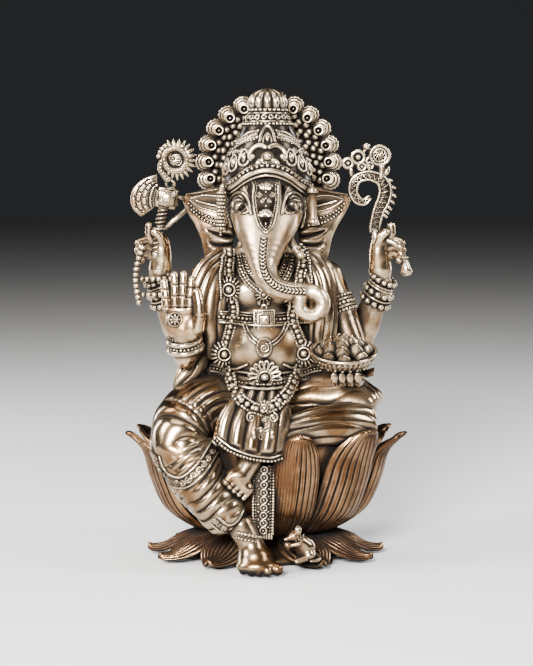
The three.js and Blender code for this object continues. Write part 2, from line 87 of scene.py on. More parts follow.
def curve(points, t):
    """Points at the parameters t (0 to 1, by length) of a smooth curve through the given points."""
    p = np.asarray(points, dtype=float)
    if len(p) == 2:
        return mix(p[0], p[1], np.asarray(t)[..., None])
    dense = catmull(p, 24)
    length = lengths(dense)
    return between(np.asarray(t) * length[-1], length, dense)


def catmull(p, steps):
    """Points on a smooth curve through the given rows."""
    ext = np.vstack([2 * p[0] - p[1], p, 2 * p[-1] - p[-2]])
    rows = []
    for i in range(len(p) - 1):
        a, b, c, d = ext[i : i + 4]
        t = np.linspace(0, 1, steps, endpoint=False)[:, None]
        square, cube = (2 * a - 5 * b + 4 * c - d) * t**2, (3 * b - a - 3 * c + d) * t**3
        rows.append(0.5 * (2 * b + (c - a) * t + square + cube))
    return np.vstack([*rows, p[-1:]])


def along(values, t):
    """A smoothly changing value along t from 0 to 1."""
    dense = catmull(np.asarray(values, dtype=float)[:, None], 16)[:, 0]
    return np.interp(t, np.linspace(0, 1, len(dense)), dense)


def noise(p, seed=0):
    """Cheap smooth noise from -1 to 1, from a few sine waves in fixed directions."""
    rng = np.random.default_rng(seed)
    total = 0
    for i in range(5):
        direction = unit(rng.normal(size=3)) * (1 + 0.45 * i)
        total = total + np.sin(p @ direction + rng.uniform(0, TAU)) / (1 + 0.3 * i)
    return total / 2.6


# ---------- closed shapes ----------


def grid_faces(rows, columns, wrap=True):
    """Quads between the rows of a grid of points; each row closes on itself when wrap is true."""
    i, j = np.meshgrid(np.arange(rows - 1), np.arange(columns if wrap else columns - 1), indexing="ij")
    k = (j + 1) % columns
    here, there = i * columns, (i + 1) * columns
    return np.stack([here + j, here + k, there + k, there + j], axis=-1).reshape(-1, 4)


def loft(sections):
    """A closed skin over sections of shape (rows, columns, 3), with both ends capped to their middles."""
    rows, columns = sections.shape[:2]
    ends = np.stack([sections[0].mean(axis=0), sections[-1].mean(axis=0)])
    verts = np.vstack([sections.reshape(-1, 3), ends])
    j = np.arange(columns)
    k = (j + 1) % columns
    first, last = rows * columns, rows * columns + 1
    low = np.stack([np.full(columns, first), k, j], axis=-1)
    high = np.stack([np.full(columns, last), (rows - 1) * columns + j, (rows - 1) * columns + k], axis=-1)
    return outward(verts, grid_faces(rows, columns), np.vstack([low, high]))


def outward(verts, quads, tris):
    """The shape with its faces turned to point out."""
    volume = 0
    for faces in (quads[:, :3], quads[:, [0, 2, 3]], tris):
        a, b, c = (verts[faces[:, i]] for i in range(3))
        volume += np.einsum("ij,ij->", a, np.cross(b, c))
    if volume < 0:
        quads, tris = quads[:, ::-1], tris[:, ::-1]
    return verts, quads, tris


def frames_along(path, up):
    """Directions across and over a path, for a section that keeps one side towards up."""
    forward = unit(np.gradient(path, axis=0))
    across = unit(np.cross(forward, up))
    return across, np.cross(across, forward)


def rounds(across, over, angles):
    """The directions at some angles round a path, for each of its points."""
    return across[:, None] * np.cos(angles)[None, :, None] + over[:, None] * np.sin(angles)[None, :, None]


def tube(path, radius, sides=8, up=UP, flat=1.0):
    """A wire along a path, with rounded ends; flat squashes it towards up."""
    path = np.asarray(path, dtype=float)
    radius = np.broadcast_to(np.asarray(radius, dtype=float), (len(path),))
    way = 0.6 * unit(np.gradient(path, axis=0))
    path = np.vstack([path[:1] - way[:1] * radius[0], path, path[-1:] + way[-1:] * radius[-1]])
    radius = np.r_[radius[0] * 0.5, radius, radius[-1] * 0.5]
    across, over = frames_along(path, np.asarray(up, dtype=float))
    section = rounds(across, flat * over, np.linspace(0, TAU, sides, endpoint=False))
    return loft(path[:, None] + radius[:, None, None] * section)


def ring(path, radius, sides=8, up=FRONT):
    """A tube whose path closes on itself."""
    path = np.asarray(path, dtype=float)
    n = len(path)
    forward = unit(np.roll(path, -1, axis=0) - np.roll(path, 1, axis=0))
    across = unit(np.cross(forward, up))
    section = rounds(across, np.cross(across, forward), np.linspace(0, TAU, sides, endpoint=False))
    verts = (path[:, None] + radius * section).reshape(-1, 3)
    i, j = np.meshgrid(np.arange(n), np.arange(sides), indexing="ij")
    i2, j2 = (i + 1) % n, (j + 1) % sides
    quads = np.stack([i * sides + j, i * sides + j2, i2 * sides + j2, i2 * sides + j], axis=-1).reshape(-1, 4)
    return outward(verts, quads, np.zeros((0, 3), dtype=int))


def lathe(profile, segments=32, scallop=None):
    """A turned shape about Z from [radius, height] points; scallop(angle, t) scales the radius."""
    profile = np.asarray(profile, dtype=float)
    a = np.linspace(0, TAU, segments, endpoint=False)
    t = np.linspace(0, 1, len(profile))
    r = np.maximum(profile[:, :1], 1e-3) * (1 if scallop is None else scallop(a[None], t[:, None]))
    return loft(np.stack(np.broadcast_arrays(r * np.cos(a), r * np.sin(a), profile[:, 1:]), axis=-1))


def put(shape, place, turn=None, size=1.0):
    """A shape scaled, turned and moved to its place."""
    verts, quads, tris = shape
    verts = verts * size
    return (place + (verts if turn is None else verts @ turn.T)), quads, tris


def spun(shape, angle):
    """A shape turned about its own axis."""
    verts, quads, tris = shape
    c, s = math.cos(angle), math.sin(angle)
    return verts @ np.array([[c, s, 0], [-s, c, 0], [0, 0, 1]]), quads, tris


def unit_ball(segments=10, rings=6):
    z = np.cos(np.linspace(0, math.pi, rings + 1))[1:-1]
    return lathe(np.stack([np.sqrt(1 - z**2), z], axis=-1), segments)


def dome_profile(r, height):
    """A quarter of an oval, from its edge to its top."""
    a = np.linspace(0, math.pi / 2, 5)
    return np.stack([r * np.cos(a), height * np.sin(a)], axis=-1)


# the directions of a relief in columns: to its right, up it, and out of it
FACING = np.array([[1.0, 0, 0], [0, 0, -1], [0, 1, 0]])  # it looks to the front
BEHIND = FACING @ np.diag([-1, 1, -1])  # it looks to the back
TURNED_OVER = np.diag([1, -1, -1])  # makes a drop point up
BALL = unit_ball()
SMALL_BALL = unit_ball(8, 5)


class Pieces:
    """Closed shapes that are collected into one mesh."""

    def __init__(self):
        self.verts, self.quads, self.tris, self.count = [], [], [], 0

    def add(self, shape):
        verts, quads, tris = shape
        self.verts.append(np.asarray(verts, dtype=float))
        self.quads.append(np.asarray(quads, dtype=int).reshape(-1, 4) + self.count)
        self.tris.append(np.asarray(tris, dtype=int).reshape(-1, 3) + self.count)
        self.count += len(verts)

    def copies(self, shape, places, scales=1.0, turns=None):
        """One copy of a shape at each place; turns are matrices with the shape's axes in their columns."""
        verts, quads, tris = shape
        places = np.atleast_2d(places)
        n, m = len(places), len(verts)
        scales = np.asarray(scales, dtype=float)
        scales = np.broadcast_to(scales if scales.ndim == 2 else scales.reshape(-1, 1), (n, 3))
        local = verts[None] * scales[:, None]
        if turns is not None:
            local = np.einsum("nij,nmj->nmi", np.broadcast_to(turns, (n, 3, 3)), local)
        shift = (np.arange(n) * m)[:, None, None]
        local = (local + places[:, None]).reshape(-1, 3)
        self.add((local, (quads[None] + shift).reshape(-1, 4), (tris[None] + shift).reshape(-1, 3)))

    def balls(self, places, r, fine=False):
        """Beads of radius r."""
        self.copies(BALL if fine else SMALL_BALL, places, r)

    def arrays(self):
        """All shapes as one."""
        return np.vstack(self.verts), np.vstack(self.quads), np.vstack(self.tris)


# ---------- solids by distance ----------


class Solid:
    """A solid on a grid of distances, for shapes that melt into each other."""

    OUTSIDE = 9.0  # the distance in mm at which an empty grid starts, more than any fillet reaches

    def __init__(self, low, high, cell):
        self.low, self.cell = np.asarray(low, dtype=float), cell / FINE
        counts = np.ceil((np.asarray(high) - self.low) / self.cell).astype(int) + 1
        self.axes = [self.low[i] + self.cell * np.arange(counts[i]) for i in range(3)]
        self.values = np.full(counts, self.OUTSIDE, dtype=np.float32)

    def window(self, low, high):
        """The part of the grid inside a box, as slices, and its points."""
        slices = []
        for i in range(3):
            first = int(np.clip(np.searchsorted(self.axes[i], low[i]), 0, len(self.axes[i]) - 1))
            last = int(np.clip(np.searchsorted(self.axes[i], high[i]), first + 1, len(self.axes[i])))
            slices.append(slice(first, last))
        x, y, z = (self.axes[i][slices[i]] for i in range(3))
        points = np.stack(np.meshgrid(x, y, z, indexing="ij"), axis=-1).astype(np.float32)
        return tuple(slices), points

    def blend(self, distance, low, high, k, cut=False):
        """Adds a distance function's solid with a fillet of about k, or takes it away."""
        window, p = self.window(np.asarray(low) - 2 * k, np.asarray(high) + 2 * k)
        a, b = self.values[window], -distance(p) if cut else distance(p)
        h = np.clip(0.5 + 0.5 * (b - a) / k, 0, 1)
        if cut:
            self.values[window] = a * (1 - h) + b * h + k * h * (1 - h)
        else:
            self.values[window] = b * (1 - h) + a * h - k * h * (1 - h)

    def ball(self, centre, radii, k=0.8, cut=False):
        """An ellipsoid with its axes along X, Y and Z."""
        centre, radii = np.asarray(centre, dtype=float), np.asarray(radii, dtype=float)

        def distance(p):
            q = (p - centre) / radii
            k0 = np.linalg.norm(q, axis=-1)
            k1 = np.linalg.norm(q / radii, axis=-1)
            return k0 * (k0 - 1) / np.maximum(k1, 1e-6)

        self.blend(distance, centre - radii, centre + radii, k, cut)

    def cone(self, a, b, ra, rb, k=0.6, cut=False, flat=None):
        """A round-ended tapered rod; flat=(direction, share) squashes it along a direction."""
        a, b = np.asarray(a, dtype=float), np.asarray(b, dtype=float)
        ab = b - a
        length2 = max(float(ab @ ab), 1e-9)

        def distance(p):
            t = np.clip((p - a) @ ab / length2, 0, 1)
            off = p - a - t[..., None] * ab
            if flat is not None:
                direction, share = unit(np.asarray(flat[0], dtype=float)), flat[1]
                off = off + (off @ direction)[..., None] * direction * (1 / share - 1)
            return np.linalg.norm(off, axis=-1) - (ra + (rb - ra) * t)

        r = max(ra, rb)
        self.blend(distance, np.minimum(a, b) - r, np.maximum(a, b) + r, k, cut)

    def rod(self, points, radii, k=0.6, steps=14, cut=False):
        """A tapered rod along a smooth curve."""
        t = np.linspace(0, 1, steps + 1)
        p, r = curve(points, t), along(radii, t)
        for i in range(steps):
            self.cone(p[i], p[i + 1], r[i], r[i + 1], k if i == 0 else 0.25 * k, cut)

    def displace(self, amount):
        """Moves the surface outwards by amount(points), where it lies within 3 mm of the surface."""
        near = np.abs(self.values) < 3
        index = np.nonzero(near)
        p = np.stack([self.axes[i][index[i]] for i in range(3)], axis=-1)
        self.values[index] -= amount(p).astype(np.float32)

    def surface(self, relax=2):
        """The zero surface as quads, by the surface nets method, with its corners slightly relaxed."""
        v = self.values.copy()
        for axis in range(3):  # the solid ends at the box
            edge = [slice(None)] * 3
            for side in (0, -1):
                edge[axis] = side
                v[tuple(edge)] = np.maximum(v[tuple(edge)], self.cell)
        inside = v < 0
        corners = [(i, j, k) for i in (0, 1) for j in (0, 1) for k in (0, 1)]
        shape = tuple(n - 1 for n in v.shape)

        def at(array, c):
            return array[c[0] : c[0] + shape[0], c[1] : c[1] + shape[1], c[2] : c[2] + shape[2]]

        total = sum(at(inside, c).astype(np.int8) for c in corners)
        mixed = (total > 0) & (total < 8)
        cells = np.argwhere(mixed)
        number = np.full(shape, -1, dtype=np.int64)
        number[mixed] = np.arange(len(cells))
        place, hits = np.zeros((len(cells), 3)), np.zeros(len(cells))
        for a in corners:
            for axis in range(3):
                if a[axis]:
                    continue
                b = tuple(a[i] + (i == axis) for i in range(3))
                va, vb = at(v, a)[mixed], at(v, b)[mixed]
                cross = (va < 0) != (vb < 0)
                t = va[cross] / (va[cross] - vb[cross])
                place[cross] += np.asarray(a) + t[:, None] * np.eye(3)[axis]
                hits[cross] += 1
        verts = self.low + self.cell * (cells + place / hits[:, None])
        quads = []
        for axis in range(3):
            u, w = (axis + 1) % 3, (axis + 2) % 3
            low = [slice(None)] * 3
            high = [slice(None)] * 3
            low[axis], high[axis] = slice(0, -1), slice(1, None)
            nodes = np.argwhere(inside[tuple(low)] != inside[tuple(high)])
            nodes = nodes[(nodes[:, u] > 0) & (nodes[:, w] > 0)]
            step_u, step_w = np.eye(3, dtype=int)[u], np.eye(3, dtype=int)[w]
            steps = (step_u * 0, step_u, step_u + step_w, step_w)
            q = np.stack([number[tuple((nodes - step).T)] for step in steps], axis=-1)
            solid_first = inside[tuple(nodes.T)]
            q[~solid_first] = q[~solid_first][:, ::-1]
            quads.append(q)
        quads = np.vstack(quads)
        for _ in range(relax):
            verts = relaxed(verts, quads)
        return outward(verts, quads, np.zeros((0, 3), dtype=int))


def relaxed(verts, quads, amount=0.5):
    """The corners moved towards the mean of their neighbours."""
    a = np.concatenate([quads[:, i] for i in range(4)] * 2)
    b = np.concatenate([quads[:, (i + 1) % 4] for i in range(4)] + [quads[:, (i - 1) % 4] for i in range(4)])
    n = np.bincount(a, minlength=len(verts))
    mean = np.stack([np.bincount(a, weights=verts[b, i], minlength=len(verts)) for i in range(3)], axis=-1)
    return mix(verts, mean / np.maximum(n, 1)[:, None], amount)


# ---------- skins that ornaments lie on ----------

SKINS = {}
FAR = 90.0  # mm in front of the figure, where the rays start that look for a skin


def hollows(verts, quads, rounds=12):
    """How deep each corner lies below the smoothed surface round it, in mm; crests are negative."""
    soft = verts
    for _ in range(rounds):
        soft = relaxed(soft, quads)
    across = np.cross(verts[quads[:, 2]] - verts[quads[:, 0]], verts[quads[:, 3]] - verts[quads[:, 1]])
    used = quads.ravel()
    n = len(verts)
    normal = np.stack([np.bincount(used, np.repeat(across[:, i], 4), minlength=n) for i in range(3)], axis=-1)
    touched = np.bincount(used, minlength=n) > 0
    return np.where(touched, ((soft - verts) * unit(normal)).sum(axis=-1), 0.0)


def keep_skin(name, shape):
    """Keeps a shape under its name, for ornaments to lie on."""
    verts, quads, tris = shape
    SKINS[name] = BVHTree.FromPolygons(verts.tolist(), quads.tolist() + tris.tolist())


def onto(points, lift=0.0, skins=None):
    """Points given in X and Z, laid on the skins as seen from the front and lifted off, with the normals."""
    places, normals = [], []
    for x, z in np.asarray(points, dtype=float):
        hits = [SKINS[name].ray_cast(Vector((x, -FAR, z)), Vector(-FRONT)) for name in skins or SKINS]
        hits = [hit for hit in hits if hit[0] is not None]
        if not hits:  # beside the skins, the last place is used again
            places.append(places[-1] if places else np.array([x, 0, z]))
            normals.append(normals[-1] if normals else FRONT)
            continue
        place, normal, _, _ = min(hits, key=lambda hit: hit[3])
        normal = np.array(normal)
        if normal @ FRONT < 0:
            normal = -normal
        normals.append(normal)
        places.append(np.array(place) + lift * normal)
    return np.array(places), np.array(normals)


def upright(normals, up=UP):
    """Matrices with a relief's own axes in their columns: to its right, up it, and out of the surface."""
    n = unit(np.atleast_2d(normals))
    right = unit(np.cross(np.broadcast_to(up, n.shape), n))
    return np.stack([right, np.cross(n, right), n], axis=-1)


def turns_along(places, normals):
    """Matrices like those of upright, for reliefs that point along a line."""
    forward = unit(np.gradient(places, axis=0))
    return np.stack([unit(np.cross(forward, normals)), forward, normals], axis=-1)


# ---------- materials ----------


def socket(node, name, value):
    """Sets an input of a node."""
    node.inputs[name].default_value = value


def ramp(tree, source, stops):
    """A colour ramp with [position, grey or colour] stops."""
    node = tree.nodes.new("ShaderNodeValToRGB")
    elements = node.color_ramp.elements
    while len(elements) < len(stops):
        elements.new(0.5)
    for element, (position, value) in zip(elements, stops):
        element.position = position
        element.color = (*value, 1) if isinstance(value, tuple) else (value, value, value, 1)
    tree.links.new(source, node.inputs["Fac"])
    return node.outputs["Color"]


def texture(tree, coordinate, scale, detail, rough, stretch=(1, 1, 1)):
    """Noise from 0 to 1."""
    mapping = tree.nodes.new("ShaderNodeMapping")
    socket(mapping, "Scale", stretch)
    tree.links.new(coordinate, mapping.inputs["Vector"])
    node = tree.nodes.new("ShaderNodeTexNoise")
    socket(node, "Scale", scale)
    socket(node, "Detail", detail)
    socket(node, "Roughness", rough)
    tree.links.new(mapping.outputs["Vector"], node.inputs["Vector"])
    return node.outputs["Fac"]


def blend_colour(tree, factor, a, b):
    """A mix of two colours or colour sockets."""
    node = tree.nodes.new("ShaderNodeMix")
    node.data_type = "RGBA"
    for value, name in ((a, "A"), (b, "B")):
        slot = next(s for s in node.inputs if s.name == name and s.type == "RGBA")
        if isinstance(value, tuple):
            slot.default_value = (*value, 1)
        else:
            tree.links.new(value, slot)
    tree.links.new(factor, next(s for s in node.inputs if s.name == "Factor" and s.type == "VALUE"))
    return next(s for s in node.outputs if s.type == "RGBA")


def calculate(tree, operation, *values):
    """A sum on numbers or sockets."""
    node = tree.nodes.new("ShaderNodeMath")
    node.operation = operation
    for i, value in enumerate(values):
        if isinstance(value, (int, float)):
            node.inputs[i].default_value = value
        else:
            tree.links.new(value, node.inputs[i])
    return node.outputs["Value"]


def shelter(tree, reach, samples):
    """How open a place is, seen from the metal within reach: 1 in the open, 0 in a deep gap."""
    node = tree.nodes.new("ShaderNodeAmbientOcclusion")
    node.samples = samples
    socket(node, "Distance", reach)
    return node.outputs["AO"]


def bump(tree, height, strength, distance, below=None):
    """Relief in the shading only, on top of the relief below."""
    node = tree.nodes.new("ShaderNodeBump")
    socket(node, "Strength", strength)
    socket(node, "Distance", distance)
    tree.links.new(height, node.inputs["Height"])
    if below is not None:
        tree.links.new(below, node.inputs["Normal"])
    return node.outputs["Normal"]


# the black of the patina in the hollows, also used for the painted shade deep inside the figure
PATINA_AND_SHADE_BLACK = (0.004, 0.0032, 0.0028)
DEEP_REACH = 13 * MM  # how far off the metal may be that paints shade on a place inside the figure


def antique_brass(name, pale, warm, warm_share, reach_mm=1.8, grain=1.0, gloss=0.13, deep_shade=(0.28, 0.62)):
    """Hand-rubbed cast brass: pale where a cloth reaches, warmer brown below, black patina in the hollows,
    painted shade deep inside.

    reach_mm is how far off the metal may be that keeps the cloth away, grain scales the relief in the
    shading, gloss is the lowest roughness, and deep_shade says how open a place is between its darkest
    and its full tone.
    """
    material = bpy.data.materials.new(name)
    material.use_nodes = True
    tree = material.node_tree
    shader = tree.nodes["Principled BSDF"]
    socket(shader, "Specular IOR Level", 0.06)
    coordinate = tree.nodes.new("ShaderNodeTexCoord").outputs["Object"]
    clouds = texture(tree, coordinate, 95, 5, 0.6)
    specks = texture(tree, coordinate, 900, 4, 0.6)
    brushing = texture(tree, coordinate, 1500, 3, 0.6, (1, 1, 0.25))

    def dimmed(value, source, stops):
        return calculate(tree, "MULTIPLY", value, ramp(tree, source, stops))

    # how bright the metal stays: black patina in gaps, along inner edges and in the hollows of the relief,
    # and painted shade deep inside the figure
    openness = shelter(tree, reach_mm * MM, 6)
    openness = calculate(tree, "ADD", openness, calculate(tree, "MULTIPLY", clouds, 0.16))
    polish_and_shade = ramp(tree, openness, [(0.72, 0.0), (0.94, 0.20), (1.07, 1.0)])
    # painted shade: darker deep inside the figure, where shade falls
    polish_and_shade = dimmed(polish_and_shade, shelter(tree, DEEP_REACH, 4), [(deep_shade[0], 0.12), (deep_shade[1], 1.0)])
    edge = tree.nodes.new("ShaderNodeNewGeometry").outputs["Pointiness"]
    polish_and_shade = dimmed(polish_and_shade, edge, [(0.44, 0.12), (0.492, 1.0)])
    hollow = tree.nodes.new("ShaderNodeAttribute")
    hollow.attribute_name = "hollow"
    polish_and_shade = dimmed(polish_and_shade, hollow.outputs["Fac"], [(0.0, 1.0), (0.045, 0.4), (0.13, 0.0)])

    crest = ramp(tree, edge, [(0.485, 0.0), (0.535, 1.0)])
    warmth = ramp(tree, calculate(tree, "ADD", clouds, calculate(tree, "MULTIPLY", crest, -0.22)),
                  [(max(0.02, 0.62 - warm_share), 0.0), (min(0.98, 0.92 - warm_share), 1.0)])
    metal = blend_colour(tree, warmth, pale, warm)
    spots = ramp(tree, specks, [(0.56, 0.0), (0.72, 0.5)])
    metal = blend_colour(tree, spots, metal, tuple(0.55 * c for c in warm))
    tree.links.new(blend_colour(tree, polish_and_shade, PATINA_AND_SHADE_BLACK, metal), shader.inputs["Base Color"])
    tree.links.new(ramp(tree, polish_and_shade, [(0.0, 0.2), (0.6, 1.0)]), shader.inputs["Metallic"])
    haze = ramp(tree, clouds, [(0.3, gloss), (0.75, gloss + 0.11)])
    haze = calculate(tree, "ADD", haze, calculate(tree, "MULTIPLY", specks, 0.07))
    tree.links.new(blend_colour(tree, polish_and_shade, (0.78, 0.78, 0.78), haze), shader.inputs["Roughness"])

    cast = bump(tree, texture(tree, coordinate, 320, 3, 0.5), 0.25 * grain, 0.0003)
    tree.links.new(bump(tree, brushing, 0.12 * grain, 0.00012, cast), shader.inputs["Normal"])
    return material


# each look: the pale and the warm metal, the share of the warm one, and what differs from the usual
FIGURE = antique_brass("figure_brass_look", (0.51, 0.39, 0.25), (0.14, 0.077, 0.035), 0.42, reach_mm=3.4)
# the lotus look is darker than the figure: partly its own browner tone, partly painted shade on petals that
# face down
LOTUS = antique_brass("lotus_brass_look", (0.31, 0.18, 0.088), (0.085, 0.040, 0.018), 0.46, reach_mm=3.4)
ORNAMENT = antique_brass("ornament_brass_look", (0.59, 0.465, 0.31), (0.185, 0.108, 0.052), 0.36,
                         reach_mm=2.2, grain=0.6)
# the shaded look is a darker copy of the brass: painted shade on the halo plate, the eye sockets and the
# grounds of the ear and hem borders
SHADED = antique_brass("shaded_brass_look", (0.13, 0.095, 0.06), (0.045, 0.03, 0.018), 0.40, reach_mm=2.4)
# the face and belly looks are lighter copies of the brass: painted light for the bright light on the face and
# the belly
FACE_LOOK = antique_brass("face_brass_look", (0.64, 0.50, 0.335), (0.24, 0.145, 0.075), 0.34,
                          reach_mm=1.5, gloss=0.24, deep_shade=(0.20, 0.50))
BELLY = antique_brass("belly_brass_look", (0.60, 0.47, 0.31), (0.18, 0.105, 0.05), 0.36,
                      reach_mm=3.0, gloss=0.20, deep_shade=(0.30, 0.56))
SKIN = antique_brass("hand_brass_look", (0.58, 0.445, 0.285), (0.19, 0.11, 0.052), 0.40, reach_mm=1.5)
PATINA = antique_brass("patina_look", (0.040, 0.030, 0.022), (0.014, 0.010, 0.008), 0.40, reach_mm=1.5)
SLOTS = {"figure_brass": FIGURE, "lotus_brass": LOTUS, "ornament_brass": ORNAMENT, "shaded": SHADED,
         "hand": SKIN, "patina": PATINA, "face": FACE_LOOK, "belly": BELLY}


# ---------- pieces ----------


def piece(name, shape, slot="figure_brass", stands_for=(), skin=False):
    """Makes a Blender object from a closed shape in millimetres."""
    verts, quads, tris = shape.arrays() if isinstance(shape, Pieces) else shape
    mesh = bpy.data.meshes.new(name)
    mesh.vertices.add(len(verts))
    mesh.vertices.foreach_set("co", (verts * MM).astype(np.float32).ravel())
    corners = np.concatenate([quads.ravel(), tris.ravel()]).astype(np.int32)
    starts = [4 * np.arange(len(quads)), 4 * len(quads) + 3 * np.arange(len(tris))]
    starts = np.concatenate(starts).astype(np.int32)
    mesh.loops.add(len(corners))
    mesh.loops.foreach_set("vertex_index", corners)
    mesh.polygons.add(len(starts))
    mesh.polygons.foreach_set("loop_start", starts)
    mesh.update(calc_edges=True)
    mesh.validate()
    mesh.polygons.foreach_set("use_smooth", np.ones(len(mesh.polygons), dtype=bool))
    depths = mesh.attributes.new("hollow", "FLOAT", "POINT")
    depths.data.foreach_set("value", hollows(verts, quads).astype(np.float32))
    mesh.materials.append(SLOTS[slot])
    thing = bpy.data.objects.new(name, mesh)
    bpy.context.scene.collection.objects.link(thing)
    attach(thing, "root")
    if stands_for:
        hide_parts(*stands_for)
    if skin:
        keep_skin(name, (verts, quads, tris))
    return thing


# ---------- lotus ----------
DEPTH_RATIO = 0.78  # the lotus is oval
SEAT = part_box("lotus_bowl")[1][2] / MM
UPRIGHT_FIRST, UPRIGHT_STEP, UPRIGHT_COUNT = 15, 33.4, 9
DROOPING_FIRST, DROOPING_STEP, DROOPING_COUNT = 28, 33.8, 10


def around(degrees, r, z):
    """Points round the oval lotus, by angle from the front, radius and height."""
    a = np.radians(degrees)
    return np.stack(np.broadcast_arrays(r * np.sin(a), -DEPTH_RATIO * r * np.cos(a), z), axis=-1)


def leaf(surface, thick, relief, rows=56, columns=90, facing=1):
    """A sheet of metal with a relief on one face; surface(u, v) has u from -1 to 1 and v from 0 to 1."""
    rows, columns = int(rows * FINE), int(columns * FINE)
    outer, inner = np.linspace(-1, 1, columns), np.linspace(1, -1, columns // 3)[1:-1]
    u, v = np.meshgrid(np.r_[outer, inner], np.linspace(0, 1, rows))
    side = np.where(np.arange(u.shape[1]) < columns, 1.0, -1.0)[None]
    tiny = 1e-3
    du = surface(u + tiny, v) - surface(u - tiny, v)
    dv = surface(u, np.clip(v + tiny, 0, 1)) - surface(u, np.clip(v - tiny, 0, 1))
    edge = np.sqrt(np.clip(1 - np.abs(u) ** 7, 0, 1)) * np.sqrt(np.clip(1 - v**24, 0, 1) * 0.9 + 0.1)
    offset = edge * (side * thick / 2 + np.where(side > 0, relief(u, v), 0))
    return loft(surface(u, v) + facing * offset[..., None] * unit(np.cross(du, dv)))


def grooves(u, count, sharp=3.0):
    """1 in the middle of each groove and 0 on the broad crests between them."""
    return (1 - np.abs(np.sin(math.pi * count * (u + 1) / 2))) ** sharp


def upright_petal(degrees, rim_height, flare, blunt, groove_count, groove_from, depth, wide=1.0, proud=0.0):
    """A broad petal that rises beside the seat; grooves start at u = groove_from."""
    profile = vec([15.0, 8.6], [23, 10.6], [30.6, 17.6], [34.6, 26.5], [37.0, 34.5],
                  [38.6 + 0.55 * flare, rim_height - 1.6], [38.6 + flare, rim_height])
    widths = vec(7.5, 12.5, 16.4, 18.6, 18.8, 18.2, 15.2 + 1.6 * blunt, 0.9 + 15.2 * blunt)
    steps = np.linspace(0, 1, 60)
    wide_at = np.maximum(along(widths, steps), 0.9)

    def surface(u, v):
        rz = curve(profile, np.clip(v, 0, 1))
        top = smooth(0.72, 1.0, v)
        half = wide * np.interp(v, steps, wide_at) / 2
        round_top = np.clip(1 - (np.clip((v - 0.80) / 0.20, 0, 1)) ** 2.6, 0.002, 1) ** 0.5
        half = half * mix(1, round_top, blunt)
        swell = (3.0 + proud) * (1 - np.abs(u) ** 2.4) * smooth(0.05, 0.4, v) * (1 - 0.45 * top)
        r = rz[..., 0] + swell - 0.9 + 0.6 * proud * smooth(0.3, 0.7, v)
        turn = np.degrees(u * half / rz[..., 0])
        wave = 0.35 * np.sin(5 * u + degrees) * top
        return around(degrees + turn, r + wave, rz[..., 1] - 0.8 * top * u * u)

    def relief(u, v):
        reach = smooth(groove_from - 0.1, groove_from + 0.05, u) * (1 - smooth(0.9, 1, np.abs(u)))
        fade = smooth(0.0, 0.12, v) * (1 - smooth(0.84, 0.97, v))
        lip = 0.45 * np.exp(-(((1 - np.abs(u)) / 0.06) ** 2)) + 0.4 * np.exp(-(((1 - v) / 0.035) ** 2))
        brushed = 0.04 * np.sin(61 * u + 2 * np.sin(9 * v))
        grooved = depth * grooves(u + 0.03 * np.sin(4 * v), groove_count) * reach * fade
        return lip * smooth(0.35, 0.7, v) + brushed - grooved

    return leaf(surface, 1.9, relief, 60, 150)


def drooping_petal(degrees):
    """A petal that arches down to the ground, its back ribbed like a fan."""
    profile = vec([16.0, 10.2], [21.5, 8.2], [27.6, 5.0], [32.6, 1.9], [36.6, 1.2], [38.4, 1.9])
    widths = vec(8.2, 13.0, 17.0, 16.4, 9.5, 1.2)

    def surface(u, v):
        rz = curve(profile, np.clip(v, 0, 1))
        half = along(widths, v) / 2
        lift = 1.7 * smooth(0.1, 0.6, v) * (1 - u * u) - 0.3
        turn = np.degrees(u * half / rz[..., 0])
        return around(degrees + turn, rz[..., 0], np.maximum(rz[..., 1] + lift, 0.75))

    def relief(u, v):
        ribs = grooves(u, 11, 1.6) * smooth(0.05, 0.2, v) * (1 - smooth(0.84, 0.97, v))
        lip = 0.35 * np.exp(-(((1 - np.abs(u)) / 0.08) ** 2))
        return -0.85 * ribs * (1 - smooth(0.86, 1, np.abs(u))) + lip

    return leaf(surface, 1.5, relief, 50, 140, facing=-1)


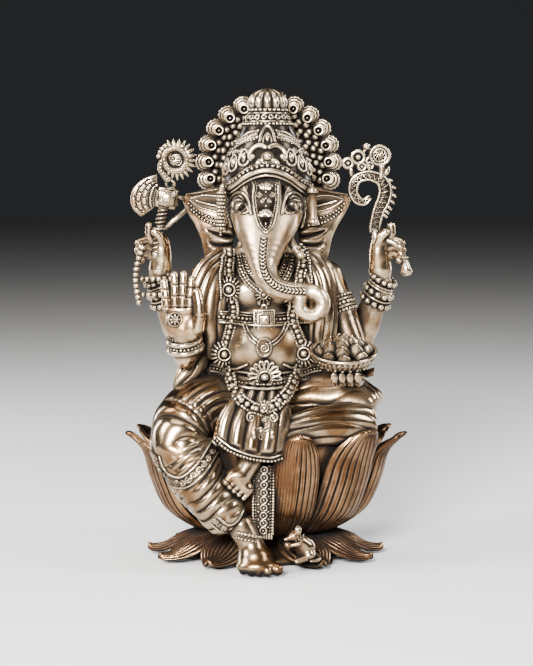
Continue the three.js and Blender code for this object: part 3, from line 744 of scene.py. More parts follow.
def lotus():
    plate = [[0, 0], [20.4, 0], [21.6, 0.4], [22, 1.0], [21.4, 1.7], [18.4, 3.2], [16.2, 5.6], [15.2, 8.2],
             [13.6, 8.9], [0, 8.9]]
    flat = vec(1, 0.85, 1)
    verts, quads, tris = lathe(curve(plate, np.linspace(0, 1, 60)), 96)
    verts[:, 2] = np.where(verts[:, 2] < 0.05, 0, verts[:, 2])
    piece("base_foot", (verts * flat, quads, tris), "lotus_brass", ("base_plate",))

    bowl = [[0, 9.2], [11.5, 9.2], [14, 13], [24, 16.4], [29.6, 21.5], [32.6, 28.5], [34.4, 35],
            [34.8, SEAT - 0.8], [33.8, SEAT], [0, SEAT]]
    seat = Pieces()
    seat.add(put(lathe(curve(bowl, np.linspace(0, 1, 80)), 96), 0, size=vec(1, DEPTH_RATIO, 1)))
    for row, (r, count) in enumerate(((31.6, 84), (29.4, 76), (26.4, 40), (22.6, 34))):
        angles = 360 * (np.arange(count) + 0.5 * (row % 2)) / count
        size = vec(0.95, 0.95, 0.5)[None] * (0.9 if row < 2 else 1.25)
        seat.copies(unit_ball(10, 5), around(angles, r, SEAT + 0.05), size)
    piece("lotus_seat", seat, "lotus_brass", ("lotus_bowl",))

    # rim height, flare, bluntness, grooves, where they start, their depth, and for two petals width and swell
    front = {0: (43.4, 0.6, 1.0, 10, -0.15, 0.8, 0.80, 1.8), 1: (43.6, 4.6, 0.72, 10, -0.95, 1.0, 1.16, 0.5),
             UPRIGHT_COUNT - 1: (41.2, 6.2, 0.1, 11, -0.5, 1.0)}
    for i in range(UPRIGHT_COUNT):
        kind = front.get(i, (40.8, 6.0, 0.15, 9, -0.9, 0.95))
        shape = upright_petal(UPRIGHT_FIRST + i * UPRIGHT_STEP, *kind)
        piece(f"upright_petal_piece_{i + 1}", shape, "lotus_brass", (f"upright_petal_{i + 1}",), skin=i == 0)
    for i in range(DROOPING_COUNT):
        shape = drooping_petal(DROOPING_FIRST + i * DROOPING_STEP)
        name = (f"drooping_petal_{i + 1}",)
        piece(f"drooping_petal_piece_{i + 1}", shape, "lotus_brass", name, skin=i == 0)


# ---------- body ----------
HEAD_X = 0.3


def torso():
    body = Solid((-24, -24, SEAT + 0.3), (24, 15, 102), 0.45)
    body.ball((0, 0, 51), (17.5, 13.5, 13), 1)
    body.ball((0, -0.6, 55), (19.3, 13.8, 12), 2)
    body.ball((0, -6.8, 68), (14.4, 14, 13.6), 2.2)
    body.ball((0, 1.8, 75), (14.6, 9.2, 22), 2.5)
    body.ball((0, -1, 85), (14.6, 9.6, 11.4), 2.6)
    for side in (-1, 1):
        body.ball((side * 6.4, -6.6, 85.6), (6.6, 4.4, 5.6), 1.6)
    body.rod([(-18, 1, 90.5), (0, 1, 92), (18, 1, 90.5)], [4.8, 6, 4.8], 1.6)
    body.cone((0.4, 0, 88), (0.4, 0, 101), 7, 6.6, 1.6)
    for side in (-1, 1):
        body.cone((side * 3.5, 1.4, 98.5), (side * 15, 1.6, 90.6), 4.6, 4.6, 2.4)
        body.ball((side * 16.0, -2.6, 60.8), (4.8, 5.8, 4.6), 2.4)
    body.ball((0, -21.6, 64.6), (1.2, 1.8, 1.5), 0.8, cut=True)
    body.rod([(0, 12.4, 60), (0, 10.8, 74), (0, 9.6, 92)], [1.2, 1.5, 1.2], 1.4, cut=True)

    def wrap(p):
        """Folds of the waist cloth, below the belly."""
        low = 1 - smooth(57, 61, p[:, 2] + 0.12 * p[:, 1])
        sag = 0.012 * p[:, 0] ** 2 * smooth(-2, 4, p[:, 1]) + 0.9 * noise(0.16 * p, 3)
        fold = np.abs(np.sin(0.8 * p[:, 2] - sag + 0.05 * p[:, 0])) ** 0.8
        return low * (1.0 * fold - 0.4)

    body.displace(wrap)
    piece("torso_piece", body.surface(), "belly", ("torso",), skin=True)


TRUNK = vec([0.3, -9.5, 111], [-0.2, -14.6, 104], [-0.7, -19.2, 97], [-0.4, -21.6, 93.4], [0.9, -23.8, 90.1],
            [3.0, -25.4, 88.2], [5.8, -26.5, 87.2], [9.0, -27.1, 87.0], [12.2, -27.3, 87.1])
TRUNK_RADII = [6.4, 6.2, 5.2, 4.5, 3.9, 3.5, 3.05, 2.7, 2.5]
CURL_CENTRE, CURL_R = vec(14.0, 83.4), 3.6
EYES = vec([-8.6, 113.2], [8.8, 113.2])


def head():
    skull = Solid((-14, -34, 76), (20, 9.5, 127.5), 0.3)
    skull.ball((HEAD_X, -2.2, 114), (11.2, 10.2, 11.8), 1)
    skull.ball((HEAD_X, -5.2, 112.4), (11.4, 7.8, 11.6), 2.5)
    # the broad front of the face narrows without a step into the trunk: half width, front and depth by height
    heights = (94, 96.5, 99, 102, 105, 108, 111, 114, 117, 120)
    table = ((4.4, 5.2, 6.3, 8.0, 9.6, 10.7, 11.2, 11.0, 10.0, 8.4),
             (-24.8, -24.3, -23.6, -22.5, -21.2, -19.8, -18.0, -15.9, -13.6, -11.4),
             (5.0, 6.0, 7.2, 8.8, 10.2, 11.0, 11.2, 10.2, 8.6, 7.0))
    fits = [np.polyfit(heights, row, 5) for row in table]

    def funnel(p):
        z = np.clip(p[..., 2], 94, 120)
        half, front, deep = (np.polyval(fit, z) for fit in fits)
        centre = HEAD_X - 0.075 * np.clip(108 - z, 0, 14)
        off = np.hypot((p[..., 0] - centre) / half, (p[..., 1] - front - deep) / deep)
        return np.maximum((off - 1) * np.minimum(half, deep), np.abs(p[..., 2] - 107) - 12.5)

    skull.blend(funnel, vec(-14, -27, 93), vec(14, 6, 121), 1.5, False)
    for side in (-1, 1):
        skull.cone((HEAD_X + side * 3.6, -7.6, 121), (HEAD_X + side * 4.6, -9.6, 117), 4.2, 3.6, 2.0)
    skull.ball((HEAD_X, -6.2, 118.8), (9.8, 6.0, 6.6), 2.0)
    skull.cone((HEAD_X, 1.0, 108), (HEAD_X, 1.4, 99), 8.4, 7.0, 2.5)
    skull.rod(TRUNK, TRUNK_RADII, 3.0, 26)
    angles = np.linspace(92, -196, 15)
    ys = np.linspace(-27.3, -29.0, 15)
    curl = [(CURL_CENTRE[0] + CURL_R * math.cos(a), y, CURL_CENTRE[1] + CURL_R * math.sin(a))
            for a, y in zip(np.radians(angles), ys)]
    for i in range(len(curl) - 1):
        r = mix(2.4, 1.95, i / 13)
        skull.cone(curl[i], curl[i + 1], r, r, 0.25)
    skull.ball(curl[-1] + vec(0.2, 0, 1.0), (1.9, 1.9, 1.2), 0.6)
    for x, z in EYES:
        side = math.copysign(1, x)
        skull.ball((x + 0.5 * side, -13.0, z + 0.1), (3.5, 2.4, 2.5), 1.0, cut=True)
        skull.ball((x - 0.1 * side, -11.2, z - 0.1), (2.3, 1.2, 1.35), 0.3)

    def wrinkles(p):
        """Faint rings across the upper trunk and a slight unevenness all over."""
        on_trunk = smooth(106, 100, p[:, 2]) * smooth(-12, -16, p[:, 1])
        return 0.03 * on_trunk * np.sin(3.2 * (p[:, 2] + 0.3 * p[:, 0])) + 0.05 * noise(0.5 * p, 5)

    skull.displace(wrinkles)
    piece("head_and_trunk", skull.surface(), "face", ("head", "trunk"), skin=True)


def nape_locks():
    """Long locks that fall from under the crown down the nape."""
    profile = vec([0, 9.0], [0.25, 9.3], [0.5, 9.6], [0.75, 10.4], [1, 11.6])

    def surface(u, v):
        half = mix(10.4, 7.2, v**1.4) * np.sqrt(np.clip(1 - np.clip((v - 0.82) / 0.18, 0, 1) ** 2.4, 0.02, 1))
        y = np.interp(v, profile[:, 0], profile[:, 1]) - 2.6 * u * u * (1 - 0.5 * v)
        return np.stack([HEAD_X + u * half, y, mix(119.5, 91.5, v) + 0 * u], axis=-1)

    def strands(u, v):
        locks = 0.9 * folds(4.5 * (u + 1) + 0.35 * np.sin(7 * v + 2 * u), 0.6)
        return locks - 0.3 + 0.25 * folds(11 * (u + 1) + 0.5 * np.sin(9 * v), 0.8)

    piece("nape_locks", leaf(surface, 1.6, strands, 70, 110), "figure_brass")


def ear(side):
    """A fanned ear: a rolled rim, a hollow upper half and a folded lower half."""
    outer = catmull(vec([25.6, 116.2], [26.9, 114.4], [25.4, 110.6], [22.8, 106.4], [20.9, 102.2],
                        [19.9, 98.0], [18.6, 95.4], [15.0, 95.8]), 8)
    inner = catmull(vec([9.0, 118.6], [9.2, 114], [9.6, 110], [9.9, 106.5], [10.2, 103.6], [10.6, 101.2],
                        [11.0, 99.4], [11.8, 98.2]), 8)

    def surface(u, v):
        s = (u + 1) / 2
        index = np.clip(v, 0, 1) * (len(outer) - 1)
        xz = mix(*(between(index, np.arange(len(line)), line) for line in (inner, outer)), s[..., None])
        arch = 1.3 * np.sin(math.pi * s) * np.sin(math.pi * np.clip(v * 2, 0, 1))
        y = 1.2 + 2.2 * s * s + arch - 1.6 * smooth(0.5, 1.0, v) * np.sin(math.pi * s)
        z = xz[..., 1] + 0.9 * np.sin(math.pi * s) * (1 - v)
        return np.stack([HEAD_X + side * xz[..., 0], y, z], axis=-1)

    def relief(u, v):
        s = (u + 1) / 2
        rim = sum(height * np.exp(-((off / width) ** 2))
                  for height, off, width in ((0.75, 1 - s, 0.06), (0.7, v, 0.035), (0.6, 1 - v, 0.03)))
        fold = np.abs(np.sin(math.pi * (6.6 * (v - 0.46 + 0.22 * s * s)))) ** 0.55
        reach = smooth(0.46, 0.52, v) * (1 - smooth(0.93, 0.98, v)) * (1 - smooth(0.6, 0.85, s))
        hollow = -0.5 * np.exp(-(((s - 0.35) / 0.3) ** 2 + ((v - 0.2) / 0.16) ** 2))
        return rim + reach * (2.0 * fold - 1.3) + hollow

    shape = leaf(surface, 1.9, relief, 110, 90, facing=-side)
    name = "left" if side > 0 else "right"
    piece(f"{name}_ear_piece", shape, "figure_brass", (f"{name}_ear",), skin=True)


# ---------- arms and hands ----------
ARMS = {
    "rear_right": (vec([-15, 5.6, 88.6], [-26, 7.6, 66.4], [-34.2, 0.6, 88]), (5.2, 4.7, 3.5)),
    "rear_left": (vec([15, 5.6, 88.6], [29.4, 7.6, 66.4], [37.2, 0.6, 88]), (5.2, 4.7, 3.5)),
    "front_right": (vec([-19, -1.5, 90], [-23, -5, 65.6], [-25.4, -18.6, 70]), (5.2, 4.7, 3.6)),
    "front_left": (vec([19.4, -1.5, 90], [28.4, -6, 66.6], [26.6, -17.6, 61.6]), (5.4, 4.8, 3.5)),
}


def arms():
    for name, ((shoulder, elbow, wrist), (r0, r1, r2)) in ARMS.items():
        joints = np.stack([shoulder, elbow, wrist])
        limb = Solid(joints.min(axis=0) - 8, joints.max(axis=0) + 8, 0.45)
        middle = mix(shoulder, elbow, 0.5)
        limb.cone(shoulder, middle, r0, r0 * 0.96, 1)
        limb.cone(middle, elbow, r0 * 0.96, r1 * 0.92, 0.4)
        limb.cone(elbow, mix(elbow, wrist, 0.35), r1 * 0.9, r1, 1.2)
        limb.cone(mix(elbow, wrist, 0.35), wrist, r1, r2, 0.4)
        piece(f"{name}_arm_piece", limb.surface(), "figure_brass", (f"{name}_arm",), skin=True)


def finger(hand, joints, r, k=0.22, creases=False):
    """A finger of plump bones, with creases on the palm side of its joints if wanted."""
    joints = [np.asarray(j, dtype=float) for j in joints]
    for i, (a, b) in enumerate(zip(joints, joints[1:])):
        size = r * (1 - 0.09 * i)
        hand.cone(mix(a, b, 0.15), mix(a, b, 0.86), size, size * 0.93, k)
    if creases:
        for i, joint in enumerate(joints[:-1]):
            front = joint + vec(0, -1.02 * r * (1 - 0.09 * i), 0.35)
            hand.cone(front - vec(1.5, -0.5, 0), front, 0.3, 0.3, 0.12, cut=True)
            hand.cone(front, front + vec(1.5, 0.5, 0), 0.3, 0.3, 0.12, cut=True)


def blessing_hand():
    x, y, z = ARMS["front_right"][0][2]
    hand = Solid((x - 10, y - 9, z - 9), (x + 11, y + 6, z + 25), 0.24)
    hand.cone((x + 0.4, y + 1.0, z - 4), (x, y - 2.0, z + 4), 3.6, 3.3, 1)
    hand.ball((x - 0.5, y - 2.6, z + 7.6), (5.4, 2.5, 5.8), 2.0)
    hand.ball((x - 3.4, y - 3.9, z + 6.6), (2.0, 1.6, 4.0), 1.0)
    hand.ball((x + 2.8, y - 4.0, z + 5.4), (2.7, 2.0, 4.0), 1.0)
    hand.ball((x - 0.6, y - 4.1, z + 11.0), (4.4, 1.0, 1.3), 0.9)
    for dx, tip, lean in ((-5.0, 8.4, -0.10), (-2.5, 10.6, -0.02), (-0.2, 10.8, 0.03), (2.0, 9.2, 0.06)):
        root = vec(x + dx, y - 3.5, z + 11.6)
        step = vec(lean * tip, 0, tip) / 3
        finger(hand, [root + step * i + vec(0, 0.12 * i * i, 0) for i in range(4)], 1.68, 0.06, creases=True)
    thumb = vec([4.3, -4.6, 4.6], [5.2, -5.2, 9.4], [4.9, -5.0, 13.6], [4.2, -4.4, 17.0])
    finger(hand, vec(x, y, z) + thumb, 2.05, 0.3)
    piece("blessing_hand_piece", hand.surface(0), "hand", ("blessing_hand",), skin=True)


def rear_hand(side):
    """A hand with its back to the front that closes round a staff; side is -1 on the figure's right."""
    name = "right" if side < 0 else "left"
    x, y, z = ARMS[f"rear_{name}"][0][2]
    hand = Solid((min(x, x + side * 9) - 6, y - 8, z - 5), (max(x, x + side * 9) + 6, y + 6, z + 21), 0.24)

    def at(out, forward, up):
        return vec(x + side * out, y - forward, z + up)

    hand.cone(at(0, 0, -3.5), at(-0.4, 0.2, 4), 3.4, 3.1, 1)
    hand.cone(at(-0.6, 0.4, 5), at(-0.7, 1.0, 13), 3.7, 2.9, 1.6, flat=((0, 1, 0), 0.85))
    hand.ball(at(-1.4, 1.4, 9), (2.6, 2.3, 5.4), 1.2)
    finger(hand, [at(-1.6, 2.2, 12.4), at(-0.6, 3.2, 15.0), at(1.2, 3.4, 16.6)], 1.6)
    finger(hand, [at(1.4, 1.2, 12.6), at(3.0, 1.8, 15.4), at(2.9, 1.8, 19.0)], 1.45)
    for up, reach in ((13.2, 6.3), (11.0, 6.6), (8.9, 6.0)):
        joints = [at(1.2, 0.8, up - 0.6), at(3.6, 1.8, up + 0.6), at(reach, 2.8, up),
                  at(reach - 0.8, 3.6, up - 1.6)]
        finger(hand, joints, 1.45)
    piece(f"rear_{name}_hand_piece", hand.surface(0), "hand", (f"rear_{name}_hand",), skin=True)


def bowl_hand():
    x, y, z = ARMS["front_left"][0][2]
    low, high = np.array(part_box("bowl_hand")) / MM
    hand = Solid(low - 3, high + 3, 0.26)
    hand.cone((x, y + 1, z), (x - 0.3, y - 3.4, z - 0.6), 3.2, 2.6, 1)
    hand.ball((x - 0.4, y - 5.4, z - 1.2), (4.9, 5.2, 1.7), 1.2)
    for dx in (-3.6, -1.2, 1.2, 3.6):
        joints = vec([-1.0, -7.6, -2.2], [-1.6, -11.6, -2.4], [-2.0, -15.2, -1.3], [-2.2, -17.2, 0.6])
        finger(hand, vec(x + dx, y, z) + joints, 1.36, 0.15)
    finger(hand, [(x + 4.2, y - 4, z - 0.6), (x + 7.6, y - 6.4, z + 0.8), (x + 9.2, y - 8.6, z + 2.8)], 1.3)
    piece("bowl_hand_piece", hand.surface(0), "figure_brass", ("bowl_hand",), skin=True)


# ---------- legs and cloth ----------


def swept(path, radii, relief, rows=90, columns=110, flat=1.0, up=UP):
    """A limb of cloth along a curve; relief(turn, t) lifts its surface, with turn from 0 to 1 round it."""
    rows, columns = int(rows * FINE), int(columns * FINE)
    t = np.linspace(0, 1, rows)
    centre, radius = curve(path, t), along(radii, t)
    across, over = frames_along(centre, np.asarray(up, dtype=float))
    turn = np.linspace(0, 1, columns, endpoint=False)
    direction = rounds(across, flat * over, TAU * turn)
    lift = relief(turn[None], t[:, None])
    closing = np.sqrt(np.clip(1 - (2 * np.abs(t - 0.5)) ** 18, 0.02, 1))[:, None]
    return loft(centre[:, None] + ((radius[:, None] + lift) * closing)[..., None] * direction)


def folds(phase, sharp=0.75):
    """Rounded crests between narrow valleys, from 0 to 1."""
    return np.abs(np.sin(math.pi * phase)) ** sharp


def legs():
    def thigh_relief(turn, t):
        drift = 0.35 * np.sin(5 * t + 9 * turn) + 0.22 * np.sin(11 * t - 4 * turn)
        lengthwise = folds(14 * turn + 1.6 * t + 1.6 * drift, 0.6)
        lengthwise = lengthwise * (0.55 + 0.45 * np.sin(TAU * 2 * turn + 4 * t))
        round_knee = folds(5.5 * t + 1.3 * np.sin(TAU * turn + 0.6) + 1.4 * drift)
        round_knee = round_knee * (0.55 + 0.45 * np.sin(TAU * turn + 9 * t))
        hem = 0.7 * np.exp(-(((t - 0.975) / 0.02) ** 2))
        cloth = mix(lengthwise, round_knee, smooth(0.5, 0.74, t))
        return 1.25 * cloth * (1 - 0.8 * smooth(0.86, 0.93, t)) - 0.7 + hem

    thigh = vec([-7, -2, 50.2], [-15.4, -8.0, 49.6], [-23.4, -15.4, 47.6], [-26.4, -20.8, 43.0],
                [-26.2, -24.0, 37.4], [-24.4, -25.8, 32.8])
    limb = swept(thigh, [10.6, 10.8, 10.8, 9.9, 9.3, 9.3], thigh_relief, 170, 190)
    piece("right_thigh_piece", limb, stands_for=("right_thigh",), skin=True)

    def shin_relief(turn, t):
        sag = 0.95 * np.cos(TAU * (turn - 0.30))
        first = folds(7.2 * t + sag + 0.35 * np.sin(TAU * 2 * turn + 5 * t) + 0.25 * np.sin(9 * t), 0.6)
        second = folds(9.6 * t - 0.5 * sag + 0.4 * np.sin(TAU * turn + 8 * t), 0.7)
        second = second * (0.5 + 0.5 * np.sin(TAU * turn + 2 + 6 * t))
        deepest = np.maximum(first * (0.75 + 0.25 * np.sin(TAU * 3 * turn + 11 * t)), 0.85 * second)
        return 1.05 * deepest * (1 - 0.7 * smooth(0.82, 0.95, t)) - 0.6

    shin = vec([-25.8, -22.4, 39], [-21.4, -26.0, 30.4], [-15.2, -28.6, 21.4], [-9.4, -29.8, 14.6])
    limb = swept(shin, [9.2, 8.9, 7.6, 6.4], shin_relief, 150, 130, up=-FRONT)
    piece("right_shin_piece", limb, stands_for=("right_shin",), skin=True)

    def left_relief(turn, t):
        drift = 0.4 * np.sin(4 * t + 7 * turn) + 0.15 * np.sin(13 * t)
        lengthwise = folds(13.5 * turn - 1.3 * t + 1.5 * drift, 0.6)
        uneven = 1.35 * lengthwise * (0.62 + 0.38 * np.sin(TAU * 2 * turn + 2 + 3 * t))
        return uneven * (1 - 0.7 * smooth(0.62, 0.9, t)) - 0.6

    left = vec([7, -2, 51.5], [16, -5.4, 51], [25, -8.8, 50.2], [30.8, -11.0, 48.4], [33.6, -12.0, 46.6])
    limb = swept(left, [10.8, 10.8, 10.2, 9.4, 8.2], left_relief, 150, 190)
    piece("left_thigh_piece", limb, stands_for=("left_thigh",), skin=True)

    def left_shin_relief(turn, t):
        lengthwise = folds(8.5 * turn + 2.4 * t + 0.4 * np.sin(7 * t), 0.6)
        return 1.1 * lengthwise * (0.7 + 0.3 * np.sin(TAU * turn + 7 * t)) - 0.5

    back = vec([32.6, -13.5, 44.2], [24, -18.8, 44.8], [14, -22.2, 44.6], [5, -25.5, 42.0],
               [-3.4, -28.6, 36.4])
    limb = swept(back, [7.6, 6.8, 5.8, 4.4, 3.1], left_shin_relief, 130, 120)
    piece("left_shin_piece", limb, stands_for=("left_shin",), skin=True)


def right_foot():
    """A foot that points to the front, its toes spread on the ground; its anklet of beads is made with the
    hems.
    """
    foot = Solid((-13, -41, 0.2), (8, -22, 18), 0.27)
    foot.cone((-7.4, -29.6, 15), (-4.4, -30.6, 9.4), 4.4, 4.0, 1)
    foot.ball((-3.2, -31.6, 5.2), (5.4, 5.0, 4.6), 1.6)
    foot.ball((-2.6, -34.0, 3.2), (6.5, 4.0, 2.6), 1.4)
    toes = ((3.6, -37.2, 1.9), (0.6, -38.0, 1.55), (-2.1, -37.8, 1.5), (-4.6, -37.0, 1.4), (-6.8, -35.6, 1.3))
    for x, reach, r in toes:
        foot.cone((mix(x, -2.4, 0.35), -34.6, 2.7), (x, reach + r, r + 0.5), r, r, 0.4)
    piece("right_foot_piece", foot.surface(1), "figure_brass", ("right_foot",), skin=True)


def left_foot():
    """The tucked foot hangs below the apron with its toes side by side."""
    foot = Solid((-17, -38, 19), (2, -25, 41), 0.2)
    foot.cone((-3.0, -28.6, 37), (-7.4, -31.0, 30.6), 3.1, 3.0, 1, flat=((0, 1, 0), 0.8))
    foot.cone((-9.6, -31.4, 30.4), (-5.9, -31.4, 26.6), 2.6, 2.3, 1.4, flat=((0, 1, 0), 0.85))
    for i, (r, length) in enumerate(((1.3, 2.4), (1.02, 2.5), (0.98, 2.3), (0.92, 2.0), (0.85, 1.7))):
        root = mix(vec(-10.6, -32.2, 30.6), vec(-5.6, -32.2, 25.2), i / 4)
        way = unit(vec(-0.69, -0.25, -0.72))
        foot.cone(root, root + 0.5 * length * way, r, r * 0.92, 0.3)
        foot.ball(root + length * way, 0.95 * r * np.ones(3), 0.15)
    piece("left_foot_piece", foot.surface(0), "figure_brass", ("left_foot",), skin=True)


APRON_PROFILE = vec([0, -20.6, 58.6], [0, -27.6, 54.0], [0, -32.6, 46.4], [0, -35.2, 36.4])


def apron():
    def surface(u, v):
        at = curve(APRON_PROFILE, np.clip(v, 0, 1))
        x = mix(0.4, -4.9, v) + u * mix(6.6, 11.4, smooth(0, 0.75, v))
        round_front = (2.6 * u * u + 4.6 * smooth(0.35, 1.0, u)) * smooth(0.15, 0.8, v)
        z = at[..., 2] + 2.6 * v * (0.55 - u) ** 2 - 1.0 * v
        return np.stack([x, at[..., 1] + round_front, z], axis=-1)

    def relief(u, v):
        pleat = folds(2.5 * (u + 1) + 0.10 * np.sin(3 * v), 0.6)
        pleat = (1.9 * pleat - 0.5) * smooth(0.03, 0.2, v) * (1 - smooth(0.88, 0.93, v))
        return pleat + 0.5 * smooth(0.89, 0.94, v)

    cloth = leaf(surface, 1.5, relief, 80, 130, facing=-1)
    piece("apron_piece", cloth, stands_for=("apron",), skin=True)


def shawl(side):
    """A folded cloth that falls from the shoulder over the upper arm."""

    def relief(turn, t):
        drift = 0.25 * np.sin(5 * t + 2 * side) + 0.12 * np.sin(11 * turn * TAU / 4 + 3 * t)
        fold = folds(10.0 * turn + 1.3 * drift + 0.5 * t, 0.6)
        return 1.5 * fold * (0.75 + 0.25 * np.sin(TAU * 2 * turn + 3 * t)) - 0.6

    across, radii = ([11.6, 16.2, 17.2, 17.4, 18.8], [3.6, 4.8, 4.9, 4.7, 3.4]) if side > 0 else (
        [-11.6, -17.2, -18.8, -18.2, -18.8], [3.6, 5.1, 6.0, 6.0, 4.4])
    path = np.stack([across, [-4.0, -7.8, -9.4, -9.2, -7.8], [97.6, 91, 80, 70, 64.6]], axis=-1)
    name = "left" if side > 0 else "right"
    shape = swept(path, radii, relief, 110, 170, 0.74, up=-FRONT)
    piece(f"{name}_shawl_piece", shape, "figure_brass", (f"{name}_shawl",), skin=True)


# ---------- small ornaments ----------


def circle(r, count=24, start=0.0):
    """Points round a circle in the plane of a relief, or in a level plane."""
    a = start + TAU * np.arange(count) / count
    return np.stack([r * np.cos(a), r * np.sin(a), np.zeros(count)], axis=-1)


def placed(points, place, turn):
    """Points of a relief, turned and moved to its place."""
    return place + np.asarray(points, dtype=float) @ turn.T


def add_ring(pieces, place, turn, r, wire, lift=0.0, count=24, sides=6):
    pieces.add(ring(placed(circle(r, count) + vec(0, 0, lift), place, turn), wire, sides, turn[:, 2]))


def add_spiral(pieces, place, turn, r, wire, turns=1.6, hand=1, start=0.0, lift=0.0, bead=1.5):
    """A wire that rolls inwards from radius r and ends in a bead."""
    t = np.linspace(0, 1, int(16 * turns) + 8)
    a = start + hand * TAU * turns * t
    radius = r * (1 - 0.82 * t)
    path = np.stack([radius * np.cos(a), radius * np.sin(a), np.full(len(t), lift)], axis=-1)
    pieces.add(tube(placed(path, place, turn), wire * (1 - 0.25 * t), 6, turn[:, 2]))
    pieces.balls(placed(path[-1:], place, turn), wire * bead)


def add_drop(pieces, place, turn, length, width, height):
    """A raised teardrop that points down."""
    t = np.linspace(0, 1, 9)
    path = np.stack([0 * t, length * (0.5 - t), 0 * t], axis=-1)
    radii = np.maximum(width / 2 * np.sqrt(np.sin(math.pi * np.clip(1 - t, 0.02, 1) ** 0.62)), 0.05)
    pieces.add(tube(placed(path, place, turn), radii, 10, turn[:, 0], flat=2 * height / width))


def add_rosette(pieces, place, turn, r, rays=16, height=1.0):
    """A round flower: a domed middle, a wire ring, and a rim of short rays."""
    dome = np.vstack([dome_profile(0.94 * r, 0.30 * r)[:-1], [[0.55 * r, 0.36 * r], [0.05, 0.42 * r]]])
    pieces.add(put(lathe(dome, 28), place, turn, vec(1, 1, height)))
    top = 0.46 * r * height
    pieces.copies(BALL, placed([[0, 0, top]], place, turn), r * vec(0.30, 0.30, 0.26)[None], turn)
    add_ring(pieces, place, turn, 0.48 * r, 0.09 * r, top, 22)
    for out in circle(1.0, rays):
        ray = [0.66 * r * out + vec(0, 0, 0.36 * r * height), 1.04 * r * out + vec(0, 0, 0.16 * r * height)]
        pieces.add(tube(placed(ray, place, turn), [0.075 * r, 0.125 * r], 6, turn[:, 2]))


def evenly(points, pitch):
    """The same line with its points a fixed step apart."""
    points = np.asarray(points, dtype=float)
    dense = catmull(points, 20) if len(points) > 2 else points
    length = lengths(dense)
    count = max(2, int(round(length[-1] / pitch)) + 1)
    return between(np.linspace(0, length[-1], count), length, dense)


def offset_line(points, distance):
    """A line in X and Z moved sideways."""
    direction = unit(np.gradient(points, axis=0))
    return points + distance * np.stack([-direction[:, 1], direction[:, 0]], axis=-1)


def lay_beads(pieces, line, r, pitch, skins, lift=0.45, shift=0.0):
    """A row of beads on the skins."""
    pieces.balls(onto(offset_line(evenly(line, pitch), shift), lift * r, skins)[0], r)


def lay_wire(pieces, line, r, skins, lift=0.3, shift=0.0, pitch=None):
    """A wire on the skins, its small steps evened out."""
    points = offset_line(evenly(line, pitch or max(0.5, 1.1 * r)), shift)
    places, normals = onto(points, lift * r, skins)
    places[1:-1] = (places[:-2] + 2 * places[1:-1] + places[2:]) / 4
    pieces.add(tube(places, r, 6, normals.mean(axis=0)))


def lay_filigree(pieces, line, size, skins, wire):
    """A run of small scrolls that alternate from side to side, with a bead between each two."""
    places, normals = onto(evenly(line, 1.75 * size), 0.5 * wire, skins)
    for i, (place, turn) in enumerate(zip(places, upright(normals))):
        add_spiral(pieces, place, turn, size * 0.92, wire, 1.3, 1 if i % 2 else -1, i * 2.1, 0.05)
    pieces.balls((places[1:] + places[:-1]) / 2, 0.22 * size)


# ---------- crown and halo ----------
CROWN_CENTRE = vec(0.6, -2.0)
CROWN_DEPTH = 0.86
CROWN_PROFILE = vec([0.5, 117.4], [12.4, 117.4], [13.6, 119.2], [13.9, 122.5], [13.3, 126], [12.0, 129.6],
                    [10.4, 133.2], [8.9, 136.4], [7.4, 139.4], [6.3, 141.6], [5.6, 142.7], [0.3, 142.9])
BUD_PROFILE = vec([0.3, 142.3], [4.8, 142.5], [5.5, 143.6], [5.8, 145.2], [5.5, 146.8], [4.4, 148.3],
                  [2.5, 149.4], [0.9, 149.8], [0.2, 149.9])
# the crown's lower edge: angle from the front, height
BROW_ARCH = vec([0, 124.0], [14, 123.5], [30, 121.9], [48, 119.4], [66, 118.0], [88, 117.8])
HALO_CENTRE, HALO_R = vec(1.0, 126.0), 20.5
HALO_LOBES, HALO_FIRST, HALO_STEP = 14, -14, 16


def crown_radius(z):
    side = CROWN_PROFILE[2:-1]
    return np.interp(z, side[:, 1], side[:, 0])


def crown_place(angle, z, lift=0.0):
    """A point on the crown and the way out of it; the angle is in degrees from the front to its left."""
    a = np.radians(np.asarray(angle, dtype=float))
    z = np.asarray(z, dtype=float)
    r = crown_radius(z)
    slope = (crown_radius(z + 0.1) - crown_radius(z - 0.1)) / 0.2
    normal = np.stack(np.broadcast_arrays(np.sin(a), -np.cos(a) / CROWN_DEPTH, -slope), axis=-1)
    x, y = CROWN_CENTRE[0] + r * np.sin(a), CROWN_CENTRE[1] - CROWN_DEPTH * r * np.cos(a)
    base = np.stack(np.broadcast_arrays(x, y, z), axis=-1)
    normal = unit(normal)
    return base + lift * normal, normal


def crown_line(angles, heights, steps):
    """A smooth run over the crown through pairs of angle and height."""
    arc = 0.2  # mm of arc that a degree counts for
    path = curve(np.stack([arc * np.asarray(angles, dtype=float), heights], axis=-1),
                 np.linspace(0, 1, steps))
    return path[:, 0] / arc, path[:, 1]


def crown_wire(pieces, angles, heights, r, steps=24, lift=0.4):
    a, z = crown_line(angles, heights, steps)
    places, normals = crown_place(a, z, lift * r)
    pieces.add(tube(places, r, 6, normals[len(normals) // 2]))


def crown_beads(pieces, angles, heights, r, count, lift=0.5):
    a, z = crown_line(angles, heights, count)
    pieces.balls(crown_place(a, z, lift * r)[0], r)


